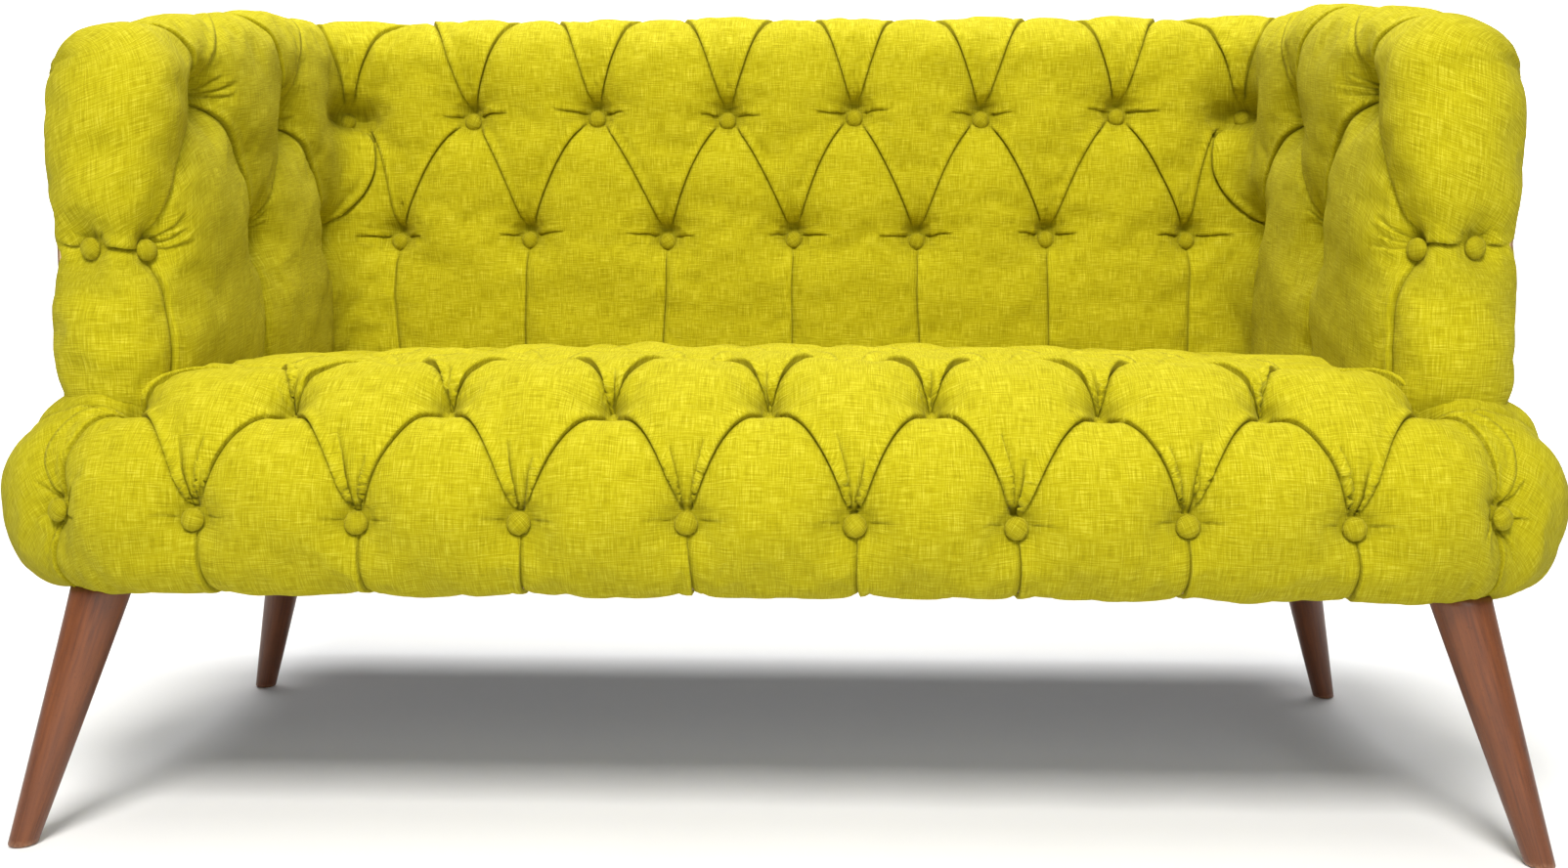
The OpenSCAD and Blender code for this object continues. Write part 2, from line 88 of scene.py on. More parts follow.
def spline(points, n=500):
    """A dense smooth curve through the points, with its arc length."""
    p = np.array(points, float)
    p = np.vstack([2 * p[0] - p[1], p, 2 * p[-1] - p[-2]])
    out = []
    for i in range(1, len(p) - 2):
        t = np.linspace(0, 1, 40, endpoint=False)[:, None]
        a, b, c, d = p[i - 1], p[i], p[i + 1], p[i + 2]
        out.append(0.5 * (2 * b + (c - a) * t + (2 * a - 5 * b + 4 * c - d) * t**2 + (3 * b - a - 3 * c + d) * t**3))
    out = np.vstack(out + [p[-2][None]])
    s = np.concatenate([[0], np.cumsum(np.linalg.norm(np.diff(out, axis=0), axis=1))])
    k = np.linspace(0, s[-1], n)
    return k, np.stack([np.interp(k, s, out[:, j]) for j in range(out.shape[1])], 1)


# ------------------------------------------------------------------ the tufting engine
# A panel is a flat chart, in metres of cloth, with a map to the shape that the padding has without any buttons.
# Buttons and pleats are points and lines in the chart. The mesh has edges along every pleat. The cloth's height
# over the base shape solves the equation of a skin on foam that is held down at the buttons and along the pleats.


def line_between(a, b, bow=0.0, step=0.003, wave=0.0, seed=0):
    a, b = np.array(a, float), np.array(b, float)
    d = b - a
    length = np.linalg.norm(d)
    n = max(3, int(round(length * (1 + abs(bow)) / step)))
    t = np.linspace(0, 1, n + 1)
    side = np.array([-d[1], d[0]])
    r = np.random.default_rng(seed)
    ph = r.random(3) * 6.28
    off = bow * 4 * t * (1 - t) + wave / max(length, 1e-6) * np.sin(math.pi * t) * (np.sin(5 * t + ph[0]) + 0.5 * np.sin(11 * t + ph[1]))
    return a + d * t[:, None] + side * off[:, None]


def line_through(points, step=0.003):
    s, p = spline(points, 400)
    n = max(3, int(round(s[-1] / step)))
    k = np.linspace(0, s[-1], n + 1)
    return np.stack([np.interp(k, s, p[:, j]) for j in range(2)], 1)


def inside(poly, pts):
    x, y = pts[:, 0], pts[:, 1]
    c = np.zeros(len(pts), bool)
    j = len(poly) - 1
    for i in range(len(poly)):
        xi, yi, xj, yj = *poly[i], *poly[j]
        hit = ((yi > y) != (yj > y)) & (x < (xj - xi) * (y - yi) / (yj - yi + 1e-30) + xi)
        c ^= hit
        j = i
    return c


def kd_of(pts):
    kd = KDTree(len(pts))
    for i, p in enumerate(pts.tolist()):
        kd.insert((p[0], p[1], 0.0), i)
    kd.balance()
    return kd


def nearest(kd, pts, limit=None):
    idx = np.empty(len(pts), int)
    dist = np.empty(len(pts))
    find = kd.find
    for i, p in enumerate(pts.tolist()):
        _, idx[i], dist[i] = find((p[0], p[1], 0.0))
    return idx, dist


class Panel:
    """border: closed polygon in the chart. base: chart points (n, 2) to base shape (n, 3)."""

    def __init__(self, name, border, base, flip=False, grid=0.0062, edge=0.005, seed=1):
        self.name, self.base, self.flip, self.grid, self.edge, self.seed = name, base, flip, grid, edge, seed
        self.border = np.array(border, float)
        self.tufts = []      # (u, v, depth)
        self.around = []     # how the padding gives way round each: (depth, radius, extra hollow above)
        self.pleats = []     # dict
        self.border_height = None
        self.rise = 0.002
        self.reach = 0.030   # how far a held point pulls the cloth down, in metres
        self.wrinkles = []   # (u, v, angle, length, height, width)
        self.glue = False
        self.weave = None        # chart to cloth, where the weave doesn't run with the chart
        self.shade = None        # broad painted shade, 0 to 1
        self.slit = 6.0          # how deep a pleat's own crack is, in millimetres

    def tuft(self, u, v, depth=0.026, funnel=0.010, wide=0.028, pit=0.0):
        self.tufts.append((u, v, depth))
        self.around.append((funnel, wide, pit))
        return len(self.tufts) - 1

    def pleat(self, a, b, bow=0.0, lip=1, mid=0.009, fold=1.0, via=None, wave=0.0015, end_depth=None, soft=1.0, fade=0.012):
        """a and b are tuft numbers, or chart points where the pleat runs out. lip is the side that overlaps."""
        pa = self.tufts[a][:2] if isinstance(a, int) else a
        pb = self.tufts[b][:2] if isinstance(b, int) else b
        if via is not None:
            pts = line_through([pa, *via, pb])
        else:
            pts = line_between(pa, pb, bow, wave=wave, seed=self.seed * 1000 + len(self.pleats))
        da = self.tufts[a][2] if isinstance(a, int) else (mid if end_depth is None else end_depth)
        db = self.tufts[b][2] if isinstance(b, int) else (mid if end_depth is None else end_depth)
        self.pleats.append(dict(pts=pts, a=isinstance(a, int), b=isinstance(b, int), da=da, db=db, lip=lip, mid=mid, fold=fold, soft=soft, fade=fade,
                                ka=a if isinstance(a, int) else None, kb=b if isinstance(b, int) else None))

    def pucker(self, k, ang, length, bend=0.0, fold=0.55, lip=1, start=0.011):
        """A short free fold that runs out from a button."""
        u, v = self.tufts[k][:2]
        p0 = (u + start * math.cos(ang), v + start * math.sin(ang))
        p1 = (u + length * math.cos(ang + bend), v + length * math.sin(ang + bend))
        pts = line_between(p0, p1, bow=-bend * 0.25, step=0.0026, wave=0.0006, seed=self.seed * 77 + len(self.pleats))
        self.pleats.append(dict(pts=pts, a=False, b=False, da=0.0, db=0.0, lip=lip, mid=0.0, fold=fold, soft=1.0, free=True))

    def make_mesh(self):
        rng = np.random.default_rng(self.seed)
        pts, edges = [], []
        # border
        poly = self.border
        loop = []
        for i in range(len(poly)):
            a, b = poly[i], poly[(i + 1) % len(poly)]
            n = max(1, int(round(np.linalg.norm(b - a) / self.edge)))
            loop += [a + (b - a) * k / n for k in range(n)]
        loop = np.array(loop)
        pts.append(loop)
        nb = len(loop)
        edges += [(i, (i + 1) % nb) for i in range(nb)]
        count = nb
        # tuft centres
        centres = np.array([t[:2] for t in self.tufts]).reshape(-1, 2)
        pts.append(centres)
        first_tuft = count
        count += len(centres)
        # pleat lines
        for p in self.pleats:
            line = p["pts"]
            keep = np.ones(len(line), bool)
            keep[0] = not p["a"]
            keep[-1] = not p["b"]
            inner = line[keep]
            ids = list(range(count, count + len(inner)))
            pts.append(inner)
            count += len(inner)
            if p["a"]:
                ids = [first_tuft + self.index_of(line[0])] + ids
            if p["b"]:
                ids = ids + [first_tuft + self.index_of(line[-1])]
            edges += list(zip(ids[:-1], ids[1:]))
        fixed = np.vstack(pts)
        kd = kd_of(fixed)
        accepted = [fixed]
        # rows beside the pleats
        rows = []
        for p in self.pleats:
            line = p["pts"]
            t = np.gradient(line, axis=0)
            t /= np.linalg.norm(t, axis=1)[:, None] + 1e-12
            nrm = np.stack([-t[:, 1], t[:, 0]], 1)
            for off, every in ((0.0020, 1), (0.0042, 1), (0.0068, 1), (0.0100, 2), (0.0140, 2)):
                for s in (-1, 1):
                    rows.append((line + nrm * off * s)[::every])
        for u, v, ang, length, height, width in self.wrinkles:
            c, sn = math.cos(ang), math.sin(ang)
            for k, off in enumerate((0.0, 1.0, -1.0, 2.1, -2.1)):
                r = np.arange(0.011 + 0.0007 * k, length, 0.0026)
                o = off * width * (0.55 + 0.9 * r / length)
                rows.append(np.stack([u + r * c - o * sn, v + r * sn + o * c], 1))
        rings = []
        for u, v, _ in self.tufts:
            for r, gap in ((0.004, 0.0032), (0.0075, 0.0032), (0.0105, 0.0026), (0.0130, 0.0028), (0.0160, 0.0032), (0.0200, 0.0036), (0.0250, 0.0042), (0.0310, 0.0048)):
                n = int(round(2 * math.pi * r / gap))
                ang = np.arange(n) / n * 2 * math.pi + r * 300
                rings.append(np.stack([u + r * np.cos(ang), v + r * np.sin(ang)], 1))
        lo, hi = poly.min(0), poly.max(0)
        g = self.grid
        xs = np.arange(lo[0], hi[0], g)
        ys = np.arange(lo[1], hi[1], g * 0.866)
        gx, gy = np.meshgrid(xs, ys)
        gx = gx + (np.arange(len(ys)) % 2)[:, None] * g / 2
        field = np.stack([gx.ravel(), gy.ravel()], 1) + (rng.random((gx.size, 2)) - 0.5) * g * 0.15
        for group, gap in ((rings, 0.0021), (rows, 0.0017), ([field], g * 0.62)):
            if not group:
                continue
            c = np.vstack(group)
            c = c[inside(poly, c)]
            cell = np.round(c / gap).astype(np.int64)
            _, first = np.unique(cell[:, 0] * 1000003 + cell[:, 1], return_index=True)
            c = c[np.sort(first)]
            _, d = nearest(kd, c)
            c = c[d > gap]
            accepted.append(c)
            kd = kd_of(np.vstack(accepted))
        pts = np.vstack(accepted)
        out = delaunay_2d_cdt([Vector(p) for p in pts.tolist()], edges, [], 1, 1e-7)
        uv = np.array([(p.x, p.y) for p in out[0]])
        faces = np.array([f for f in out[2]], int)
        self.nb_input = nb
        border_flag = np.zeros(len(uv), bool)
        for i, orig in enumerate(out[3]):
            if any(k < nb for k in orig):
                border_flag[i] = True
        # drop vertices that no face uses
        used = np.unique(faces)
        remap = -np.ones(len(uv), int)
        remap[used] = np.arange(len(used))
        self.uv, self.faces, self.on_border = uv[used], remap[faces], border_flag[used]
        # all faces the same way round
        a, b, c = (self.uv[self.faces[:, k]] for k in range(3))
        neg = (b - a)[:, 0] * (c - a)[:, 1] - (b - a)[:, 1] * (c - a)[:, 0] < 0
        self.faces[neg] = self.faces[neg][:, ::-1]

    def index_of(self, p):
        d = [abs(t[0] - p[0]) + abs(t[1] - p[1]) for t in self.tufts]
        return int(np.argmin(d))

    def frame_at(self, uv):
        """Base points and unit normals. The normal points out of the padding."""
        e = 0.0008
        p = self.base(uv)
        du = self.base(uv + [e, 0]) - self.base(uv - [e, 0])
        dv = self.base(uv + [0, e]) - self.base(uv - [0, e])
        n = np.cross(du, dv)
        n /= np.linalg.norm(n, axis=1)[:, None] + 1e-12
        return p, (-n if self.flip else n)

    def solve(self):
        uv = self.uv
        p, n = self.frame_at(uv)
        # glue: border vertices that land on the same base point are one vertex
        rep = np.arange(len(uv))
        if self.glue:
            b = np.nonzero(self.on_border)[0]
            key = np.round(p[b] * 20000).astype(np.int64)
            seen = {}
            for i, k in zip(b.tolist(), map(tuple, key.tolist())):
                hit = None
                for dx in (0, -1, 1):
                    for dy in (0, -1, 1):
                        for dz in (0, -1, 1):
                            hit = seen.get((k[0] + dx, k[1] + dy, k[2] + dz))
                            if hit is not None:
                                break
                        if hit is not None:
                            break
                    if hit is not None:
                        break
                if hit is None:
                    seen[k] = i
                else:
                    rep[i] = hit
        self.rep = rep
        f = rep[self.faces]
        ok = (f[:, 0] != f[:, 1]) & (f[:, 1] != f[:, 2]) & (f[:, 2] != f[:, 0])
        f3 = f[ok]
        nv = len(uv)
        tri = p[f3]
        w = np.zeros((len(f3), 3))
        area2 = np.linalg.norm(np.cross(tri[:, 1] - tri[:, 0], tri[:, 2] - tri[:, 0]), axis=1) + 1e-12
        for k in range(3):
            a, b, c = tri[:, k], tri[:, (k + 1) % 3], tri[:, (k + 2) % 3]
            w[:, k] = np.einsum("ij,ij->i", b - a, c - a) / area2 / 2      # half cotangent at corner k, opposite edge k+1 k+2
        w = np.clip(w, 0.02, 8.0)
        I = np.concatenate([f3[:, 1], f3[:, 2], f3[:, 0]])
        J = np.concatenate([f3[:, 2], f3[:, 0], f3[:, 1]])
        W = np.concatenate([w[:, 0], w[:, 1], w[:, 2]])
        M = np.bincount(f3.ravel(), np.repeat(area2 / 6, 3), nv)
        k2 = 1.0 / (self.reach(uv) if callable(self.reach) else self.reach) ** 2
        fixed = np.zeros(nv, bool)
        value = np.zeros(nv)
        # held lines
        line_pts, line_val = [], []
        for q in self.pleats:
            pts = q["pts"]
            s = np.concatenate([[0], np.cumsum(np.linalg.norm(np.diff(pts, axis=0), axis=1))])
            ra, rb = s, s[-1] - s
            d = np.full(len(pts), q["mid"])
            if q["a"]:
                d = np.maximum(d, q["mid"] + (q["da"] - q["mid"]) * np.exp(-np.maximum(ra - 0.009, 0) / 0.016))
            elif q["da"] != q["mid"]:
                d = q["mid"] + (q["da"] - q["mid"]) * np.exp(-ra / 0.02)
            if q["b"]:
                d = np.maximum(d, q["mid"] + (q["db"] - q["mid"]) * np.exp(-np.maximum(rb - 0.009, 0) / 0.016))
            elif q["db"] != q["mid"]:
                d = d + (q["db"] - q["mid"]) * np.exp(-rb / 0.02)
            q["depth"], q["ra"], q["rb"] = d, ra, rb
            if q.get("free"):
                continue
            line_pts.append(pts)
            line_val.append(d)
        if line_pts:
            lp, lv = np.vstack(line_pts), np.concatenate(line_val)
            kd = kd_of(lp)
            idx, dist = nearest(kd, uv)
            on = dist < 1e-5
            fixed |= on
            value[on] = -lv[idx[on]]
        for (u, v, depth), (give, _, _) in zip(self.tufts, self.around):
            r = np.hypot(uv[:, 0] - u, uv[:, 1] - v)
            on = r < (0.0045 if give < 0.004 else 0.0095)
            fixed |= on
            value[on] = -depth - 0.001
        if self.border_height is not None:
            b = np.nonzero(self.on_border)[0]
            hb = self.border_height(uv[b])
            on = ~np.isnan(hb)
            fixed[b[on]] = True
            value[b[on]] = hb[on]
        rise = self.rise(uv) if callable(self.rise) else np.full(nv, self.rise)
        # conjugate gradients on the free vertices
        same = rep != np.arange(nv)
        fixed[same] = True
        value[rep[same]] = value[rep[same]]
        free = ~fixed
        diag = np.bincount(I, W, nv) + np.bincount(J, W, nv) + k2 * M + 1e-12

        def apply(h):
            d = (h[I] - h[J]) * W
            return np.bincount(I, d, nv) - np.bincount(J, d, nv) + k2 * M * h

        h = np.where(fixed, value, -0.002)
        h[same] = 0
        rhs = k2 * M * rise
        r = np.where(free, rhs - apply(h), 0.0)
        z = r / diag
        q = z.copy()
        rz = r @ z
        for _ in range(350):
            aq = np.where(free, apply(q), 0.0)
            alpha = rz / (q @ aq + 1e-30)
            h += alpha * q
            r -= alpha * aq
            z = r / diag
            new = r @ z
            if new < 1e-16:
                break
            q = z + new / rz * q
            rz = new
        h[same] = h[rep[same]]
        self.h = h
        self.held = fixed & ~same

    def displace(self):
        uv, h = self.uv, self.h.copy()
        shift = np.zeros_like(uv)
        # painted shade, 0 to 1, that darkens the cloth's colour in creases and round buttons
        self.painted_shade = np.zeros(len(uv))
        self.fold_near = np.zeros(len(uv))
        if self.pleats:
            pts, tan, lip, amp = [], [], [], []
            for q in self.pleats:
                line = q["pts"]
                t = np.gradient(line, axis=0)
                t /= np.linalg.norm(t, axis=1)[:, None] + 1e-12
                def near_tuft(k, r):
                    return smooth((r - 0.002) / 0.008) if self.around[k][0] < 0.004 else smooth((r - 0.012) / 0.016)
                near_a = near_tuft(q["ka"], q["ra"]) if q["a"] else smooth(q["ra"] / q.get("fade", 0.012))
                near_b = near_tuft(q["kb"], q["rb"]) if q["b"] else smooth(q["rb"] / q.get("fade", 0.012))
                if q.get("free"):
                    near_a, near_b = smooth(q["ra"] / 0.004), np.clip(q["rb"] / (q["rb"].max() * 0.85), 0, 1) ** 0.55
                pts.append(line)
                tan.append(t)
                lip.append(np.full(len(line), q["lip"]))
                amp.append(near_a * near_b * q["fold"])
            pts, tan, lip, amp = np.vstack(pts), np.vstack(tan), np.concatenate(lip), np.concatenate(amp)
            kd = kd_of(pts)
            idx, dist = nearest(kd, uv)
            near = dist < 0.022
            i = idx[near]
            d = uv[near] - pts[i]
            nrm = np.stack([-tan[i, 1], tan[i, 0]], 1)
            along = np.einsum("ij,ij->i", d, tan[i])
            s = np.einsum("ij,ij->i", d, nrm) * lip[i]
            a = amp[i] * np.exp(-(np.abs(along) / 0.006) ** 4)
            mm = s * 1000
            # the overlapping lip, on the positive side, and the cloth that runs in under it on the other
            up = np.where(mm > 0, 2.6 * np.exp(-((mm - 4.4) / 3.4) ** 2) * smooth(mm / 2.5), -0.8 * np.exp(-((mm + 3) / 3.2) ** 2) * smooth(-mm / 1.5))
            tall = np.minimum(a, 1.25) / np.maximum(a, 1e-6)
            up = up - self.slit * tall * np.exp(-((mm / 1.3) ** 2))
            side = tall * np.where(mm > 0, -3.6 * np.exp(-((mm - 3.8) / 3.2) ** 2) * smooth(mm / 3.0), 0.0) + 1.5 * np.exp(-(mm / 1.6) ** 2)
            h[near] += up * a / 1000
            self.fold_near[near] = np.exp(-((mm / 6.5) ** 2)) * np.minimum(amp[i], 1.0)
            # painted shade: the colour darkens along the crack of each pleat
            self.painted_shade[near] = np.exp(-((mm / 1.5) ** 2)) * np.minimum(a, 1.0) * 0.9
            shift[near] += nrm * (side * a * lip[i] / 1000)[:, None]
        self.cave = np.zeros(len(uv))
        for (u, v, depth), (deep, wide, pit) in zip(self.tufts, self.around):
            dx, dy = uv[:, 0] - u, uv[:, 1] - v
            m = (np.abs(dx) < 0.09) & (np.abs(dy) < 0.09)
            r = np.hypot(dx[m], dy[m])
            h[m] -= deep * np.exp(-((r / wide) ** 2)) * smooth((r - 0.006) / 0.010)
            # painted shade: a darker ring round each button's hollow
            self.painted_shade[m] = np.maximum(self.painted_shade[m], 0.42 * np.exp(-((r - 0.009) / 0.0075) ** 2) * (r > 0.002))
            if pit:
                h[m] -= pit * np.exp(-((dx[m] / 0.009) ** 2) - ((dy[m] - 0.013) / 0.007) ** 2)
        for u, v, ang, length, height, width in self.wrinkles:
            dx, dy = uv[:, 0] - u, uv[:, 1] - v
            m = (np.abs(dx) < length * 1.3) & (np.abs(dy) < length * 1.3)
            if not m.any():
                continue
            c, s = math.cos(ang), math.sin(ang)
            r = dx[m] * c + dy[m] * s
            q = -dx[m] * s + dy[m] * c
            w = width * (0.55 + 0.9 * np.clip(r / length, 0, 1))
            env = smooth((r - 0.010) / 0.010) * smooth((length - r) / (length * 0.65))
            h[m] += env * height * (-np.exp(-((q / w) ** 2)) + 0.55 * np.exp(-(((q - 1.9 * w) / w) ** 2)) + 0.35 * np.exp(-(((q + 1.9 * w) / w) ** 2)))
        rng = np.random.default_rng(self.seed + 77)
        noise = np.zeros(len(uv))
        for lam, a in ((0.11, 0.0009), (0.075, 0.0007), (0.05, 0.0004), (0.034, 0.00025), (0.022, 0.00012)):
            for _ in range(4):
                t = rng.random() * 6.283
                noise += a * 0.5 * np.sin((uv[:, 0] * math.cos(t) + uv[:, 1] * math.sin(t)) * 6.283 / lam + rng.random() * 6.283)
        free = smooth(-(np.minimum(h, 0)) / 0.02)
        h += noise * (1 - 0.6 * free)
        p, n = self.frame_at(uv + shift)
        self.points = p + n * h[:, None]
        self.points = self.points[self.rep]
        self.normals = n

    def settle(self, frames=9, cap=0.0022, extra=0.018, pressure=0.6):
        """Cloth run on the finished cover: held at its tufts, folds and edges, a little too large, with the padding's pressure behind it."""
        ob = self.object
        me = ob.data
        n = len(me.vertices)
        old = np.empty(n * 3, np.float32)
        me.vertices.foreach_get("co", old)
        old = old.reshape(-1, 3).astype(float)
        pin = ob.vertex_groups.new(name="held")
        level = np.round(np.clip(self.hold, 0, 1) * 10).astype(int)
        for k in range(1, 11):
            pick = np.nonzero(level == k)[0]
            if len(pick):
                pin.add(pick.tolist(), k / 10, "REPLACE")
        mod = ob.modifiers.new("settle", "CLOTH")
        cs = mod.settings
        cs.quality = 4
        cs.mass = 0.35
        cs.tension_stiffness = cs.compression_stiffness = 12
        cs.shear_stiffness = 4
        cs.bending_stiffness = 0.6
        cs.shrink_min = -extra
        cs.use_pressure = True
        cs.uniform_pressure_force = pressure
        cs.vertex_group_mass = "held"
        cs.pin_stiffness = 1.0
        cs.effector_weights.gravity = 0.0
        mod.collision_settings.use_collision = False
        mod.collision_settings.use_self_collision = False
        mod.point_cache.frame_start, mod.point_cache.frame_end = 1, frames + 1
        for k in range(1, frames + 1):
            SCENE.frame_set(k)
        ev = ob.evaluated_get(bpy.context.evaluated_depsgraph_get())
        got = ev.to_mesh()
        new = np.empty(n * 3, np.float32)
        ok = len(got.vertices) == n
        if ok:
            got.vertices.foreach_get("co", new)
        ev.to_mesh_clear()
        ob.modifiers.remove(mod)
        SCENE.frame_set(1)
        new = new.reshape(-1, 3).astype(float)
        if ok and np.isfinite(new).all():
            move = new - old
            size = np.linalg.norm(move, axis=1)
            print("settled", self.name, "median", round(float(np.median(size)) * 1000, 2), "p99", round(float(np.percentile(size, 99)) * 1000, 2), "mm")
            move *= (cap * np.tanh(size / cap) / (size + 1e-9))[:, None]
            me.vertices.foreach_set("co", (old + move).astype(np.float32).ravel())
            me.update()

    def build(self, material, replaces=(), slot=None, fill=None):
        self.make_mesh()
        self.solve()
        self.displace()
        f = self.faces
        rep = self.rep[f]
        ok = (rep[:, 0] != rep[:, 1]) & (rep[:, 1] != rep[:, 2]) & (rep[:, 2] != rep[:, 0])
        f, rep = f[ok], rep[ok]
        if self.flip:
            f, rep = f[:, ::-1], rep[:, ::-1]
        used = np.unique(rep)
        remap = -np.ones(len(self.uv), int)
        remap[used] = np.arange(len(used))
        me = bpy.data.meshes.new(self.name)
        me.from_pydata(self.points[used].tolist(), [], remap[rep].tolist())
        layer = me.uv_layers.new(name="weave")
        cloth = self.uv if self.weave is None else self.weave(self.uv)
        layer.data.foreach_set("uv", cloth[f].reshape(-1, 2).astype(np.float32).ravel())
        me.polygons.foreach_set("use_smooth", np.ones(len(me.polygons), bool))
        me.materials.append(material)
        if self.shade is not None:
            # painted shade: the broad shade joins the darkening of creases and buttons and goes to the material as a
            # point attribute
            self.painted_shade = np.maximum(self.painted_shade, 0) + self.shade(self.uv) * (1 - self.painted_shade)
        tone = me.attributes.new("painted_shade", "FLOAT", "POINT")
        tone.data.foreach_set("value", self.painted_shade[used].astype(np.float32))
        ob = bpy.data.objects.new(self.name, me)
        SCENE.collection.objects.link(ob)
        self.object = ob
        near = np.zeros(len(self.uv))
        for u, v, _ in self.tufts:
            near = np.maximum(near, smooth((0.026 - np.hypot(self.uv[:, 0] - u, self.uv[:, 1] - v)) / 0.012))
        near = np.maximum(near, smooth(self.fold_near * 1.6))
        near[self.on_border | self.held] = 1
        self.hold = near[used]
        self.settle()
        print("panel", self.name, len(used), "points", len(f), "faces")
        return ob


# ------------------------------------------------------------------ materials
def new_material(name):
    m = bpy.data.materials.new(name)
    m.use_nodes = True
    nt = m.node_tree
    for n in list(nt.nodes):
        nt.nodes.remove(n)
    out = nt.nodes.new("ShaderNodeOutputMaterial")
    bsdf = nt.nodes.new("ShaderNodeBsdfPrincipled")
    nt.links.new(bsdf.outputs["BSDF"], out.inputs["Surface"])
    return m, nt, bsdf


def node(nt, kind, **values):
    n = nt.nodes.new(kind)
    for k, v in values.items():
        if k in n.inputs:
            n.inputs[k].default_value = v
        else:
            setattr(n, k, v)
    return n


def math_node(nt, op, a, b=None, clamp=False):
    n = nt.nodes.new("ShaderNodeMath")
    n.operation, n.use_clamp = op, clamp
    for i, v in enumerate((a, b)):
        if v is None:
            continue
        if isinstance(v, (int, float)):
            n.inputs[i].default_value = v
        else:
            nt.links.new(v, n.inputs[i])
    return n.outputs[0]


def stretched(nt, source, scale, rotate=(0, 0, 0)):
    m = node(nt, "ShaderNodeMapping")
    m.inputs["Scale"].default_value = scale
    m.inputs["Rotation"].default_value = rotate
    nt.links.new(source, m.inputs["Vector"])
    return m.outputs["Vector"]


def noise(nt, vector, scale, detail=2.0, rough=0.5, distortion=0.0):
    n = node(nt, "ShaderNodeTexNoise")
    n.inputs["Scale"].default_value = scale
    n.inputs["Detail"].default_value = detail
    n.inputs["Roughness"].default_value = rough
    n.inputs["Distortion"].default_value = distortion
    nt.links.new(vector, n.inputs["Vector"])
    return n.outputs["Fac"]


def spread(nt, value, lo, hi, to_lo=0.0, to_hi=1.0):
    n = node(nt, "ShaderNodeMapRange")
    n.inputs["From Min"].default_value = lo
    n.inputs["From Max"].default_value = hi
    n.inputs["To Min"].default_value = to_lo
    n.inputs["To Max"].default_value = to_hi
    nt.links.new(value, n.inputs["Value"])
    return n.outputs["Result"]


def mix(nt, fac, a, b, kind="MIX"):
    n = nt.nodes.new("ShaderNodeMix")
    n.data_type, n.blend_type = "RGBA", kind
    if isinstance(fac, (int, float)):
        n.inputs[0].default_value = fac
    else:
        nt.links.new(fac, n.inputs[0])
    for i, v in ((6, a), (7, b)):
        if isinstance(v, tuple):
            n.inputs[i].default_value = (*v, 1.0)
        else:
            nt.links.new(v, n.inputs[i])
    return n.outputs[2]


def bump(nt, height, distance, strength=1.0, normal=None):
    n = node(nt, "ShaderNodeBump")
    n.inputs["Strength"].default_value = strength
    n.inputs["Distance"].default_value = distance
    nt.links.new(height, n.inputs["Height"])
    if normal is not None:
        nt.links.new(normal, n.inputs["Normal"])
    return n.outputs["Normal"]


